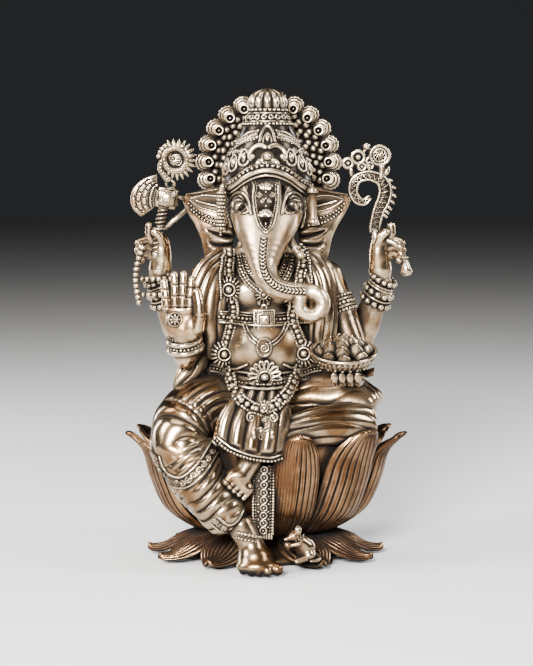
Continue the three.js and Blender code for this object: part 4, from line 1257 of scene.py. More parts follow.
def crown():
    stretch, shift = vec(1, CROWN_DEPTH, 1), np.append(CROWN_CENTRE, 0)
    dense = np.vstack([CROWN_PROFILE[:1], catmull(CROWN_PROFILE[1:-1], 6), CROWN_PROFILE[-1:]])
    verts, quads, tris = lathe(dense, int(160 * FINE))
    angle = np.degrees(np.arctan2(verts[:, 0], -verts[:, 1]))
    verts[:, 2] = np.maximum(verts[:, 2], np.interp(np.abs(angle), *BROW_ARCH.T) - 1.9)
    piece("crown_body", put((verts, quads, tris), shift, size=stretch), "patina", ("crown",), skin=True)

    def lobes(a, t):
        fade = smooth(0.02, 0.3, t) * (1 - smooth(0.85, 1, t))
        return 1 + 0.34 * (np.abs(np.cos(6 * a)) ** 0.5 - 0.75) * fade

    bud = put(lathe(catmull(BUD_PROFILE, 6), int(160 * FINE), lobes), shift, size=stretch)
    piece("crown_bud", bud, "ornament_brass", ("crown_finial",), skin=True)

    detail = Pieces()
    for z, r, count in ((143.0, 0.66, 25), (138.5, 0.52, 41)):  # rows of beads under the bud
        detail.balls(crown_place(np.linspace(-180, 180, count, endpoint=False), z, 0.45 * r)[0], r)
    for z, r in ((141.9, 0.34), (139.3, 0.34)):
        detail.add(ring(crown_place(np.linspace(-180, 180, 72, endpoint=False), z, 0.3 * r)[0], r, 6, UP))
    places, normals = crown_place(np.linspace(-180, 180, 20, endpoint=False) + 9, 140.6, 0.1)
    for place, turn in zip(places, upright(normals)):  # the row of holed studs
        add_ring(detail, place, turn, 0.68, 0.30, 0.2, 14, 6)

    def spot(angle, z, lift, up=UP):
        """A place on the crown and the directions of a relief that lies there."""
        place, normal = crown_place(angle, z, lift)
        return place, upright(normal, unit(up))[0]

    for size, wire in ((2.2, 0.52), (1.2, 0.34)):  # the niche at the front
        arch = math.pi * np.linspace(0, 1, 9)
        angles = np.degrees(size / crown_radius(135.0)) * np.cos(arch) * (1 - 0.12 * np.sin(arch))
        crown_wire(detail, angles, np.minimum(132.6 + 2.35 * size * np.sin(arch) ** 0.75, 138.2), wire, 26)
    place, turn = spot(0, 133.9, 0.35)
    add_drop(detail, place, turn @ TURNED_OVER, 2.4, 1.0, 0.7)

    # angle, height and length of each leaf
    leaves = ((35, 128.0, 4.6), (53, 126.3, 4.6), (70, 125.2, 4.5), (88, 124.4, 4.4),
              (106, 124.0, 4.3), (124, 123.8, 4.2), (142, 123.6, 4.2), (160, 123.5, 4.2))
    scroll = vec([2, 130.8], [9, 131.5], [17, 131.4], [23.5, 130.2], [25.5, 128.3], [22.5, 127.2])
    for side in (-1, 1):
        for fall in (0.0, 2.2):  # the lattice that climbs from the sides to the niche
            heights = vec(136.4, 135.6, 133.2) - fall * vec(0.9, 1, 1.1)
            crown_wire(detail, side * vec(17, 40, 62), heights, 0.42)
            crown_wire(detail, side * vec(62, 100, 150), vec(133.2, 132.6, 132.2) - 1.1 * fall, 0.40)
        for i in range(9):
            a = 19 + 5.2 * i
            z = 135.0 - 0.055 * (a - 17)
            crown_wire(detail, [side * a, side * (a + 5)], [z - 1.1, z + 1.1], 0.27, 5)
            crown_wire(detail, [side * (a + 5), side * a], [z - 1.1, z + 1.1], 0.27, 5)
        # the arms of the flower over the brow, then leaves all round
        crown_wire(detail, side * scroll[:, 0], scroll[:, 1], 0.86, 26, 0.7)
        detail.copies(BALL, crown_place(side * 20.8, 128.0, 0.9)[0], 1.0)
        for a, z, length in ((7.5, 126.9, 2.3), (13.0, 126.2, 2.6)):
            place, turn = spot(side * a, z, 0.3, vec(-0.55 * side, 0, 1))
            add_drop(detail, place, turn @ TURNED_OVER, length, 1.25, 0.8)
        for a, z, h in leaves:
            place, turn = spot(side * a, z, 0.15, vec(0.10 * side, 0, 1))
            add_drop(detail, place, turn @ TURNED_OVER, h * 0.72, 1.7, 1.1)
            t = TAU * np.linspace(0, 1, 15)
            across = 0.37 * h * np.sin(t) * (1 + 0.35 * np.cos(t))
            outline = np.stack([across, -0.60 * h * np.cos(t), 0 * t], axis=-1)
            detail.add(tube(placed(outline, place, turn), 0.42, 6, turn[:, 2]))
        for i in range(10):
            place, turn = spot(side * (46 + 12.8 * i), 129.9 - 0.25 * i, 0.3)
            add_spiral(detail, place, turn, 1.05, 0.32, 1.3, side, 1.2)
            detail.balls(crown_place(side * (52.4 + 12.8 * i), 130.0 - 0.25 * i, 0.35)[0], 0.42)
    place, turn = spot(0, 128.1, 0.8)
    detail.copies(BALL, place, 1.45)
    add_ring(detail, place, turn, 1.65, 0.22, -0.5)
    for a in -math.pi * np.arange(7) / 6:
        bead, _ = crown_place(np.degrees(2.3 * math.cos(a) / 12.5), 126.2 + 1.5 * math.sin(a), 0.35)
        detail.balls(bead, 0.42)
    piece("crown_detail", detail, "ornament_brass")

    # the tiara's rim: an arched smooth band over the brow, with a row of beads on it
    rim = Pieces()
    angles, heights = np.vstack([BROW_ARCH[:0:-1] * vec(-1, 1), BROW_ARCH]).T
    crown_wire(rim, angles, heights - 0.1, 0.85, 60, 0.7)
    crown_wire(rim, angles, heights - 1.5, 0.42, 60, 0.5)
    crown_beads(rim, angles, heights + 1.4, 0.66, 29, 0.6)
    crown_wire(rim, angles, heights + 2.3, 0.25, 60, 0.6)
    behind = [88, 120, 150, 180, 210, 240, 272]
    crown_wire(rim, behind, [118.0] * 7, 0.75, 60, 0.6)
    crown_beads(rim, behind, [119.6] * 7, 0.64, 29, 0.6)
    piece("crown_rim", rim, "ornament_brass")


def halo():
    front, back = (corner[1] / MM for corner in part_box("halo"))
    cx, cz = HALO_CENTRE
    fan = np.linspace(*np.radians([HALO_FIRST - 8, HALO_FIRST + HALO_STEP * (HALO_LOBES - 0.5)]), 90)

    def sweep(r, y, angles=fan):
        """Places at a radius round the halo's middle."""
        return np.stack(np.broadcast_arrays(cx + r * np.cos(angles), y, cz + r * np.sin(angles)), axis=-1)

    outline = np.vstack([sweep(HALO_R - 0.4, 0), [[cx - 9, 0, cz - 8.2], [cx + 9, 0, cz - 8.2]]])
    n = len(outline)
    sheet = np.vstack([outline + vec(0, front + 1.4, 0), outline + vec(0, back - 0.2, 0),
                       [[cx, front + 1.1, cz], [cx, back, cz]]])
    j = np.arange(n)
    k = (j + 1) % n
    near, far = (np.full(n, 2 * n), j, k), (np.full(n, 2 * n + 1), n + k, n + j)
    fans = np.vstack([np.stack(fan, axis=-1) for fan in (near, far)])
    plate = outward(sheet, np.stack([j, n + j, n + k, k], axis=-1), fans)
    piece("halo_plate", plate, "shaded", ("halo",))

    glory = Pieces()
    hood = vec([3.2, -1.4], [3.25, -0.5], [3.05, 0.5], [2.75, 1.0], [2.5, 0.95], [2.25, 1.6], [1.95, 1.65],
               [1.75, 2.1], [1.4, 2.2], [1.1, 1.6], [0.95, 0.7], [0.05, 0.5])
    verts, quads, tris = lathe(catmull(hood, 3), int(56 * FINE))
    reach = np.hypot(verts[:, 0], verts[:, 1])
    ribbed = 1 + 0.035 * np.cos(15 * np.arctan2(verts[:, 0], verts[:, 1])) * smooth(1.9, 2.6, reach)
    shell = verts * np.stack([ribbed, ribbed, np.ones(len(verts))], axis=-1)
    shell[:, 1] -= 1.15 * (1 - smooth(0.9, 2.9, reach))  # the eye sits on the inner side of the hood
    shell[:, 2] += 0.25 * shell[:, 1] * smooth(0.5, 2.5, reach)
    for i in range(HALO_LOBES):
        angle = math.radians(HALO_FIRST + HALO_STEP * i)
        out = vec(math.cos(angle), 0, math.sin(angle))
        turn = np.stack([np.cross(out, FRONT), out, FRONT], axis=-1)
        if np.linalg.det(turn) < 0:
            turn[:, 0] *= -1
        centre = vec(cx, front + 0.9, cz) + HALO_R * out
        glory.add(put((shell, quads, tris), centre, turn))
        add_ring(glory, centre - 1.15 * out, turn, 1.35, 0.36, 2.0, 18)
        glory.balls(placed([[0, -1.2, 1.3]], centre, turn), 0.62)
        behind = lathe(vec([2.9, 0], [2.6, 0.6], [1.7, 0.9], [1.4, 0.6], [0.7, 0.9], [0.05, 1.0]), 24)
        glory.add(put(behind, vec(centre[0], back - 0.4, centre[2]), turn @ np.diag([-1, 1, -1])))
    for r, size, pitch in ((17.1, 1.22, 7.9), (14.9, 1.18, 9.0), (12.8, 1.1, 10.4)):
        first, last = HALO_FIRST - 5 + 0.25 * pitch, HALO_FIRST + HALO_STEP * (HALO_LOBES - 1) + 6
        angles = np.radians(np.arange(first, last, pitch))
        wobble = 0.35 * np.cos(np.arange(len(angles)) * math.pi)
        places = sweep(r + wobble, front + 0.9 - 0.3 * size - 0.3 * wobble, angles)
        glory.balls(places, size, fine=True)
        glory.balls(places * vec(1, 0, 1) + vec(0, back - 0.2, 0), 0.75 * size)
    for r in (19.0, 10.4):
        glory.add(tube(sweep(r, back - 0.2), 0.4, 6, FRONT))
    add_rosette(glory, vec(cx, back - 0.2, cz), BEHIND, 6.0, 20, 0.35)
    piece("halo_glory", glory, "ornament_brass")


# ---------- face and ears ----------
FACE = ("head_and_trunk",)


def lay_ground(pieces, left, right, skins, lift=0.1, depth=0.5, rows=26, columns=10):
    """A thin closed sheet between two lines, laid on the skins."""
    t, s = np.linspace(0, 1, rows), np.linspace(0, 1, columns)
    grid = mix(curve(left, t)[:, None], curve(right, t)[:, None], s[None, :, None])
    places, normals = (a.reshape(rows, columns, 3) for a in onto(grid.reshape(-1, 2), 0, skins))
    pieces.add(loft(np.concatenate([places + lift * normals, (places - depth * normals)[:, ::-1]], axis=1)))


def mirrored(line, side):
    """A line in X and Z drawn on the left half of the face, turned to the given side."""
    return np.asarray(line) * vec(side, 1) + vec(HEAD_X, 0)


def face():
    ground, detail, pupils = Pieces(), Pieces(), Pieces()
    left = vec([-5.2, 122.3], [-3.6, 119.1], [-3.9, 115.6], [-3.2, 110.7], [-2.0, 106.9], [-0.1, 104.7])
    right = vec([5.0, 122.3], [3.9, 118.9], [3.9, 114.4], [3.0, 109.6], [2.0, 106.5], [0.3, 104.7])
    lay_ground(ground, left, right, FACE)
    for side in (-1, 1):
        outer = mirrored([[9.0, 121.6], [7.3, 119.4], [5.9, 116.6], [5.2, 113.4]], side)
        inner = mirrored([[5.3, 122.6], [4.4, 119.4], [4.6, 116.2], [4.7, 113.4]], side)
        lay_ground(ground, outer, inner, FACE, 0.08)
        lay_wire(detail, outer, 0.26, FACE)
    piece("face_ground", ground, "patina")
    for line, out in ((left, 1), (right, -1)):
        lay_wire(detail, line, 0.34, FACE, 0.5)
        lay_beads(detail, line, 0.27, 0.62, FACE, 0.7, 0.75 * out)

    def relief(x, z, up=UP):
        place, normal = onto([[x, z]], 0.25, FACE)
        return place[0], upright(normal, unit(np.asarray(up, dtype=float)))[0]

    # a spray of leaves, scrolls, beads and a leaf of seven lobes
    for x, lean, length in ((-2.4, -0.5, 2.6), (-1.25, -0.2, 3.3), (0.1, 0, 4.0), (1.45, 0.2, 3.3),
                            (2.6, 0.5, 2.6)):
        place, turn = relief(0.1 + 0.62 * (x - 0.1), 119.3 - 0.25 * abs(x), (lean, 0, 1))
        add_drop(detail, place, turn @ TURNED_OVER, length * 0.8, 0.62, 0.5)
    for x, z, r, hand in ((-1.75, 116.2, 1.05, 1), (1.95, 116.2, 1.05, -1), (-1.0, 114.4, 0.8, -1),
                          (1.25, 114.4, 0.8, 1)):
        place, turn = relief(x, z)
        add_spiral(detail, place, turn, r, 0.2, 1.3, hand, math.pi / 2)
    for x, z, r in ((0.1, 117.2, 0.42), (0.1, 115.3, 0.36), (0.1, 112.9, 0.4), (0.1, 107.6, 0.34),
                    (0.1, 106.6, 0.26)):
        detail.balls(onto([[x, z]], 0.3 * r, FACE)[0], r)
    for lean in (-1.25, -0.8, -0.4, 0, 0.4, 0.8, 1.25):
        up = vec(math.sin(lean), 0, math.cos(lean))
        place, turn = relief(0.1 + 1.35 * up[0], 109.6 + 1.35 * up[2], up)
        add_drop(detail, place, turn @ TURNED_OVER, 2.1, 0.75, 0.55)

    sockets = Pieces()
    for side in (-1, 1):
        brow = mirrored([[11.4, 110.6], [11.6, 113.4], [10.6, 115.9], [8.4, 117.2], [6.4, 116.2],
                         [5.3, 113.6], [4.7, 110.4]], side)
        lid = mirrored([[10.9, 112.6], [9.9, 114.3], [8.0, 114.8], [6.4, 113.7], [5.3, 111.2]], side)
        low_lid = mirrored([[10.9, 112.6], [9.6, 111.3], [7.9, 110.7], [6.5, 110.7], [5.3, 111.2]], side)
        under_brow = offset_line(evenly(brow[:6], 0.6), -0.3 * side)
        # a dark sheet under each brow: painted shade in the eye socket
        lay_ground(sockets, under_brow, low_lid, FACE, 0.12, 0.5, 24, 12)
        lay_wire(detail, brow, 0.50, FACE, 0.4)
        lay_wire(detail, brow[:6], 0.32, FACE, 0.5, side * 1.15)
        lay_wire(detail, lid, 0.42, FACE, 0.7)
        lay_wire(detail, low_lid, 0.36, FACE, 0.6)
        place, turn = relief(HEAD_X + side * 8.0, 112.7, (0.35 * side, 0, 1))
        detail.copies(BALL, place - 0.25 * turn[:, 2], vec(2.1, 1.5, 0.8)[None], turn)
        add_ring(pupils, place + 0.42 * turn[:, 2], turn, 0.85, 0.17)
        pupils.copies(BALL, place + 0.40 * turn[:, 2], vec(0.38, 0.38, 0.25)[None], turn)
    piece("eye_sockets", sockets, "shaded")
    piece("face_detail", detail, "ornament_brass")
    piece("pupils", pupils, "patina")

    # the chain down the trunk: overlapping chevrons on a dark strip, with a dotted line beside them
    chain, strip = Pieces(), Pieces()
    line = vec([-0.5, 103.3], [-0.9, 99.0], [-0.8, 95.4], [0.3, 91.8], [2.6, 89.2], [5.6, 87.9], [8.6, 87.4],
               [11.8, 87.3])
    flat = evenly(line, 1.15)
    places, normals = onto(flat, 0.12, FACE)
    for place, turn in zip(places, turns_along(places, normals)):
        for side in (-1, 1):
            arm = [[0, 0.55, 0.1], [0.45 * side, 0.1, 0.12], [0.85 * side, -0.45, 0]]
            chain.add(tube(placed(arm, place, turn), [0.22, 0.32, 0.2], 6, turn[:, 2]))
    lay_beads(chain, line, 0.26, 0.85, FACE, 0.4, 1.9)
    dense = evenly(line, 1.0)
    lay_ground(strip, offset_line(dense, 1.2), offset_line(dense, -1.2), FACE, 0.06, rows=40, columns=6)
    piece("trunk_strip", strip, "patina")
    piece("trunk_chain", chain, "ornament_brass")

    # tusks: the figure's right one is broken short and capped
    short, long = Pieces(), Pieces()
    short.add(tube([[-4.6, -12.0, 104.6], [-6.4, -13.7, 102.4], [-8.0, -15.0, 100.6]], [1.3, 1.2, 0.95], 14))
    short.add(tube([[-7.2, -14.4, 101.4], [-7.7, -14.8, 100.9]], 1.25, 14))
    path = curve([[6.2, -12.0, 104.2], [8.0, -13.8, 101.6], [9.6, -15.2, 99.3], [11.2, -16.3, 97.2]],
                 np.linspace(0, 1, 16))
    long.add(tube(path, np.linspace(1.5, 1.1, 16), 14))
    for i in (9, 13):
        long.add(tube(path[i : i + 2], 1.55 - 0.02 * i, 14))
    piece("right_tusk_piece", short, "ornament_brass", ("right_tusk",))
    piece("left_tusk_piece", long, "ornament_brass", ("left_tusk",))


def ear_beads():
    detail, ground = Pieces(), Pieces()
    for side, name in ((-1, "right_ear_piece"), (1, "left_ear_piece")):
        skin = (name,)
        top = mirrored([[24.6, 114.9], [20.0, 116.1], [14.2, 115.6]], side)
        low = mirrored([[24.6, 114.5], [20.4, 111.9], [14.2, 110.4]], side)
        lay_ground(ground, top, low, skin, 0.12, rows=18, columns=8)
        for start, r in (([[24.9, 113.4], [21.8, 110.7], [18.0, 109.0], [14.0, 108.2]], 0.46),
                         ([[24.0, 111.4], [20.6, 108.5], [17.0, 107.0], [13.4, 106.4]], 0.5)):
            lay_beads(detail, mirrored(start, side), r, 1.12, skin)
        lay_wire(detail, top, 0.28, skin)
        lay_wire(detail, low, 0.24, skin)
        lay_wire(detail, mirrored([[22.6, 114.4], [19.4, 113.4], [15.6, 112.6]], side), 0.3, skin, 0.6)
    piece("ear_ground", ground, "shaded")
    piece("ear_detail", detail, "ornament_brass")


def tassels():
    """What hangs beside the face: a beaded rope on the figure's right and a ringed tube on its left."""
    rope = Pieces()
    rope.add(tube([[-13.6, -8.4, 118.2], [-14.0, -8.8, 112], [-14.1, -8.8, 105.6]], 1.15, 10, FRONT))
    for i in range(11):
        centre = vec(mix(-13.7, -14.1, i / 10), -8.7, 117.0 - 1.12 * i)
        rope.balls(centre + circle(1.15, 9, TAU / 18 * (i % 2)), 0.56)
    rope.copies(BALL, vec(-13.5, -8.2, 118.9), 1.0)
    rope.balls(vec([-14.1, -8.8, 104.6], [-14.1, -8.8, 103.9]), 0.5)
    piece("right_tassel", rope, "ornament_brass")
    bar = Pieces()
    profile = vec([0.1, 107.0], [1.3, 107.1], [1.75, 107.6], [1.75, 108.3], [1.35, 108.7], [1.35, 109.3],
                  [1.2, 109.6], [1.25, 116.4], [1.5, 116.8], [1.85, 117.3], [1.85, 118.0], [1.4, 118.6],
                  [0.1, 119.0])
    verts, quads, tris = lathe(profile, 20)
    bar.add((verts + vec(14.7, -8.8, 0) + np.outer(119 - verts[:, 2], vec(0.03, 0, 0)), quads, tris))
    bar.add(ring(vec(15.06, -8.8, 107.0) + circle(1.0, 14), 0.25, 6, UP))
    piece("left_tassel", bar, "ornament_brass")
    straps = Pieces()
    for side in (-1, 1):
        straps.add(tube([[0.8 + side * 11.6, -6.0, 118.6], [0.8 + side * 13.6, -8.0, 118.8]], 0.9, 8))
        line = vec([11.2, -5.6, 118], [12.0, -5.4, 114], [11.9, -5.6, 110], [11.0, -6.2, 106.2])
        path = curve(line * vec(side, 1, 1) + vec(HEAD_X, 0, 0), np.linspace(0, 1, 14))
        straps.add(tube(path, 0.55, 8))
    piece("face_straps", straps, "ornament_brass")


# ---------- necklaces and belt ----------
CHEST = ("torso_piece", "apron_piece", "left_shawl_piece", "right_shawl_piece")


def hang(line, lift, skins=CHEST, reach=2):
    """A line laid like a taut cord: it bridges the hollows that it crosses."""
    places, normals = onto(line, lift, skins)
    y = places[:, 1]
    front = np.array([y[max(0, i - reach): i + reach + 1].min() for i in range(len(y))])
    padded = np.pad(front, reach, "edge")
    places[:, 1] = np.convolve(padded, np.ones(2 * reach + 1) / (2 * reach + 1), "valid")
    return places, unit(normals + 1.2 * FRONT)


def hung(x, z, lift):
    """One place where something hangs on the chest."""
    return hang([[x, z]], lift)[0][0]


def hang_wires(pieces, line, rows, lift, up=UP, pitch=0.9, skins=CHEST, reach=2):
    """Wires laid beside a line; each row has its shift to the side and its radius."""
    for shift, r in rows:
        pieces.add(tube(hang(offset_line(evenly(line, pitch), shift), lift, skins, reach)[0], r, 6, up))


def add_strand(pieces, line, r, side_r=None):
    """A hanging row of beads, with a thinner row on each side when side_r is given."""
    places, normals = hang(evenly(line, 1.62 * r), 0.5 * r)
    pieces.copies(SMALL_BALL, places, r)
    if side_r is None:
        return
    across = unit(np.cross(unit(np.gradient(places, axis=0)), normals))
    middles = (places[1:] + places[:-1]) / 2
    for s in (-1, 1):
        for points, where in ((places, across), (middles, across[1:])):
            pieces.balls(points + s * (r + 0.62 * side_r) * where - 0.3 * r * normals[: len(points)], side_r)


def add_chevrons(pieces, line, width, pitch):
    """A hanging row of small V shapes, each lying over the next."""
    places, normals = hang(evenly(line, pitch), 0.3)
    for place, turn in zip(places, turns_along(places, normals)):
        for side in (-1, 1):
            arm = placed([[0, 0.4 * width, 0.2], [0.5 * side * width, -0.25 * width, 0]], place, turn)
            pieces.add(tube(arm, [0.26, 0.3], 6, turn[:, 2]))


def add_fan(pieces, place, turn, r, loops, first, last, core=0.34):
    """An open flower: narrow wire loops that spread from a beaded heart."""
    for a in np.radians(np.linspace(first, last, loops)):
        out, side = vec(math.cos(a), math.sin(a), 0), vec(-math.sin(a), math.cos(a), 0)
        t = np.linspace(0, TAU, 18, endpoint=False)[:, None]
        width = 0.62 * r * math.pi / loops * abs(last - first) / 180
        oval = out * (0.70 * r + 0.30 * r * np.cos(t))
        oval = oval + side * (0.5 * width * np.sin(t) * (1 + 0.35 * np.cos(t)))
        pieces.add(ring(placed(oval + vec(0, 0, 0.12 * r), place, turn), 0.055 * r, 6, turn[:, 2]))
        pieces.balls(placed([0.78 * r * out + vec(0, 0, 0.06 * r)], place, turn), 0.06 * r)
    pieces.copies(BALL, placed([[0, 0, 0.18 * r]], place, turn), core * r * vec(0.8, 0.8, 0.7)[None], turn)
    add_ring(pieces, place, turn, 0.38 * r, 0.055 * r, 0.16 * r, 20)


def necklaces():
    long = Pieces()
    right = vec([-11.4, 99.0], [-11.9, 93.4], [-11.4, 86.5], [-9.7, 79.7], [-11.2, 72.6], [-12.6, 66.6],
                [-11.4, 61.4], [-9.2, 56.2], [-5.2, 52.4], [-1.2, 50.8])
    left = vec([10.2, 99.6], [12.2, 96.0], [11.2, 90.6], [8.2, 78.5], [9.8, 72.6], [11.7, 67.0],
               [9.8, 62.0], [7.4, 57.0], [3.4, 52.8], [-1.2, 50.8])
    for line in (right, left):
        add_strand(long, line, 1.0, 0.62)
    for x, z in ((-11.3, 86.5), (-12.5, 66.6), (11.6, 67.0), (9.7, 84.2)):
        add_rosette(long, hung(x, z, 0.4), FACING, 3.9, 18)
    piece("garland_long", long, "ornament_brass", ("garland",))

    short = Pieces()
    for side in (-1, 1):
        inner = vec([side * 8.9, 97.4], [side * 7.4, 92.0], [side * 4.6, 87.9], [-0.4, 85.2])
        add_strand(short, inner, 0.62, 0.36)
        add_chevrons(short, vec([side * 6.4, 97.0], [side * 5.2, 92.6], [side * 2.8, 89.6]), 1.5, 0.95)
        add_strand(short, vec([side * 13.4, 97.2], [side * 14.4, 91.0], [side * 14.0, 84.0]), 0.5)
        strap = vec([side * 6.6, 76.4], [side * 5.0, 73.0], [side * 2.4, 70.6], [-0.4, 69.8])
        hang_wires(short, strap, ((-0.45, 0.26), (0.45, 0.26)), 0.3, FRONT, 0.8)
    add_rosette(short, hung(-0.6, 85.0, 0.4), FACING, 2.5, 12)
    for x, z, lean in ((-2.0, 82.4, -0.35), (-0.6, 81.8, 0), (0.8, 82.4, 0.35)):
        add_drop(short, hung(x, z, 0.3), upright(FRONT, unit(vec(lean, 0, 1)))[0], 2.3, 1.15, 0.7)
    band = vec([-14.6, 78.2], [-7, 77.6], [0, 77.4], [7, 77.6], [14.6, 78.2])
    hang_wires(short, band, ((-1.65, 0.34), (1.65, 0.34), (-0.95, 0.2), (0.95, 0.2)), 0.3)
    short.balls(hang(evenly(band, 1.3), 0.3)[0], 0.55)
    piece("chest_jewels", short, "ornament_brass")

    square = Pieces()
    centre = hung(-0.4, 77.0, 0.7)
    profile = vec([3.4, -1.2], [3.4, 0.5], [3.1, 0.8], [2.7, 0.5], [2.3, 0.5], [2.05, 0.9], [1.8, 0.9],
                  [1.6, 0.45], [1.5, 0.45], [0.5, 1.5], [0.05, 1.55])
    square.add(put(spun(lathe(profile * vec(math.sqrt(2), 1), 4), math.radians(45)), centre, FACING))
    edge = np.linspace(-2.45, 2.45, 8)
    for s in (-1, 1):
        for x, y in ((edge, np.full(8, 2.5 * s)), (np.full(6, 2.5 * s), edge[1:-1])):
            square.balls(placed(np.stack([x, y, np.full(len(x), 0.6)], axis=-1), centre, FACING), 0.3)
    for x in np.linspace(-2.6, 2.6, 7):
        square.add(tube(placed([[x, -3.2, 0.2], [x, -4.6, -0.1]], centre, FACING), [0.28, 0.36], 6, FRONT))
    add_ring(square, centre + vec(0, 0, 4.0), FACING, 0.75, 0.25, 0)
    piece("chest_medallion", square, "ornament_brass", ("medallion",))

    locket = Pieces()
    centre = hung(-0.4, 69.2, 0.4)
    profile = vec([1.0, -0.6], [1.0, 0.1], [0.88, 0.26], [0.74, 0.14], [0.6, 0.12], [0.05, 0.14])
    locket.add(put(lathe(profile * vec(1, 2.6), 26), centre, FACING, vec(2.5, 3.2, 1)))
    add_spiral(locket, centre, FACING, 1.5, 0.3, 1.5, -1, 1.2, 0.5)
    locket.balls(placed(circle(1, 22) * vec(2.15, 2.8, 1) + vec(0, 0, 0.6), centre, FACING), 0.26)
    piece("belly_locket", locket, "ornament_brass")


def belt():
    girdle = Pieces()
    line = vec([-17.4, 60.6], [-13, 60.2], [-7, 59.4], [0, 58.8], [7, 59.4], [13, 60.2], [17.4, 60.6])
    hang_wires(girdle, line, ((-1.9, 0.45), (0, 0.75), (1.9, 0.45)), 0.2)
    for shift in (-0.95, 0.95):
        girdle.balls(hang(offset_line(evenly(line, 1.05), shift), 0.35)[0], 0.48)
    for side in (-1, 1):
        cord = vec([15.2, 62.8], [12.6, 62.2], [9.0, 62.4], [5.4, 64.0]) * vec(side, 1)
        hang_wires(girdle, cord, ((0, 0.4),), 0.3)
    a = np.linspace(-math.pi * 0.05, math.pi * 1.05, 60)

    def behind(wide, deep, z):
        return np.stack([wide * np.cos(a), -0.6 + deep * np.sin(a), np.full(60, z)], axis=-1)

    for z, r, wide, deep in ((58.7, 0.45, 18.8, 13.9), (60.6, 0.75, 17.7, 13.1), (62.5, 0.45, 15.6, 12.2)):
        girdle.add(tube(behind(wide, deep, z), r, 6, UP))
    girdle.balls(behind(18.5, 13.7, 59.6), 0.48)
    girdle.balls(behind(17.0, 12.8, 61.6), 0.48)
    piece("belt", girdle, "ornament_brass")

    flower = Pieces()
    centre = hung(-0.2, 59.0, 1.2)
    add_fan(flower, centre, FACING, 5.2, 13, -25, 235)
    add_fan(flower, centre + vec(0, -0.2, 0), FACING, 2.9, 9, -30, 240, 0.4)
    flower.add(put(lathe(vec([4.4, -1.4], [4.3, -0.4], [0.05, -0.3]), 26), centre, FACING))
    add_drop(flower, centre + vec(2.3, -0.5, -3.4), upright(FRONT, unit(vec(-0.25, 0, 1)))[0], 5.6, 2.0, 1.1)
    add_spiral(flower, centre + vec(-3.4, -0.4, -4.2), FACING, 2.0, 0.42, 1.4, 1, 0.4)
    add_spiral(flower, centre + vec(4.8, -0.2, -3.6), FACING, 1.3, 0.32, 1.3, -1, 2.4)
    piece("belt_flower", flower, "ornament_brass")

    pendant = Pieces()
    for x, z, r in ((-1.1, 51.6, 2.2), (-0.9, 47.9, 1.6)):
        add_rosette(pendant, hung(x, z, 1.0), FACING, r, 12)
    add_fan(pendant, hung(-0.9, 44.8, 0.8), FACING, 2.6, 7, -200, 20)
    for s in (-1, 1):
        add_spiral(pendant, hung(-1.0 + 3.1 * s, 48.8, 0.6), FACING, 1.5, 0.32, 1.4, -s, 1.4)
    for x in (-3.6, 1.8):
        add_drop(pendant, hung(x, 44.0, 0.5), FACING, 2.6, 1.0, 0.7)
    piece("belt_pendant", pendant, "ornament_brass")

    hem = Pieces()
    line = vec([-15.2, 42.6], [-11.4, 39.4], [-5.3, 37.0], [1.0, 36.0], [4.6, 36.4])
    hang_wires(hem, line, ((-1.0, 0.36), (1.0, 0.3)), 0.4, FRONT, 0.9, ("apron_piece",), 1)
    hem.balls(hang(evenly(line, 1.05), 0.45, ("apron_piece",), 1)[0], 0.45)
    piece("apron_hem", hem, "ornament_brass")


def sash():
    """The end of the waist cloth that hangs down between the legs."""

    def surface(u, v):
        x = mix(-0.6, -0.9, v) + u * mix(3.3, 3.1, v)
        y = mix(-28.6, -31.0, smooth(0, 1, v)) + 0.5 * u * u
        return np.stack([x, y, mix(33.4, 12.6, v)], axis=-1)

    def relief(u, v):
        return 0.5 * np.exp(-(((np.abs(u) - 0.93) / 0.07) ** 2)) + 0.35 * np.exp(-(((1 - v) / 0.02) ** 2))

    piece("sash_cloth", leaf(surface, 1.4, relief, 60, 40, facing=-1), "patina", ("sash",))
    beadwork = Pieces()
    proud = vec(0, -0.75, 0)
    for i in range(9):
        place = surface(np.array(0.06), np.array((i + 0.5) / 9)) + proud
        add_ring(beadwork, place, FACING, 1.0, 0.24, 0, 16)
        beadwork.balls(place, 0.36)
        for s in (-1, 1):
            beadwork.balls(place + vec(1.55 * s, 0.05, 1.15), 0.3)
    v = np.linspace(0.01, 0.99, 24)
    for u, r in ((-0.96, 0.5), (-0.70, 0.24), (0.70, 0.24), (0.96, 0.5)):
        beadwork.balls(surface(np.full(24, u), v) + proud, r)
    for x in np.linspace(-3.6, 1.8, 8):
        beadwork.add(tube([[x, -31.2, 12.9], [x, -31.3, 11.2]], [0.32, 0.42], 6, FRONT))
    piece("sash_piece", beadwork, "ornament_brass")


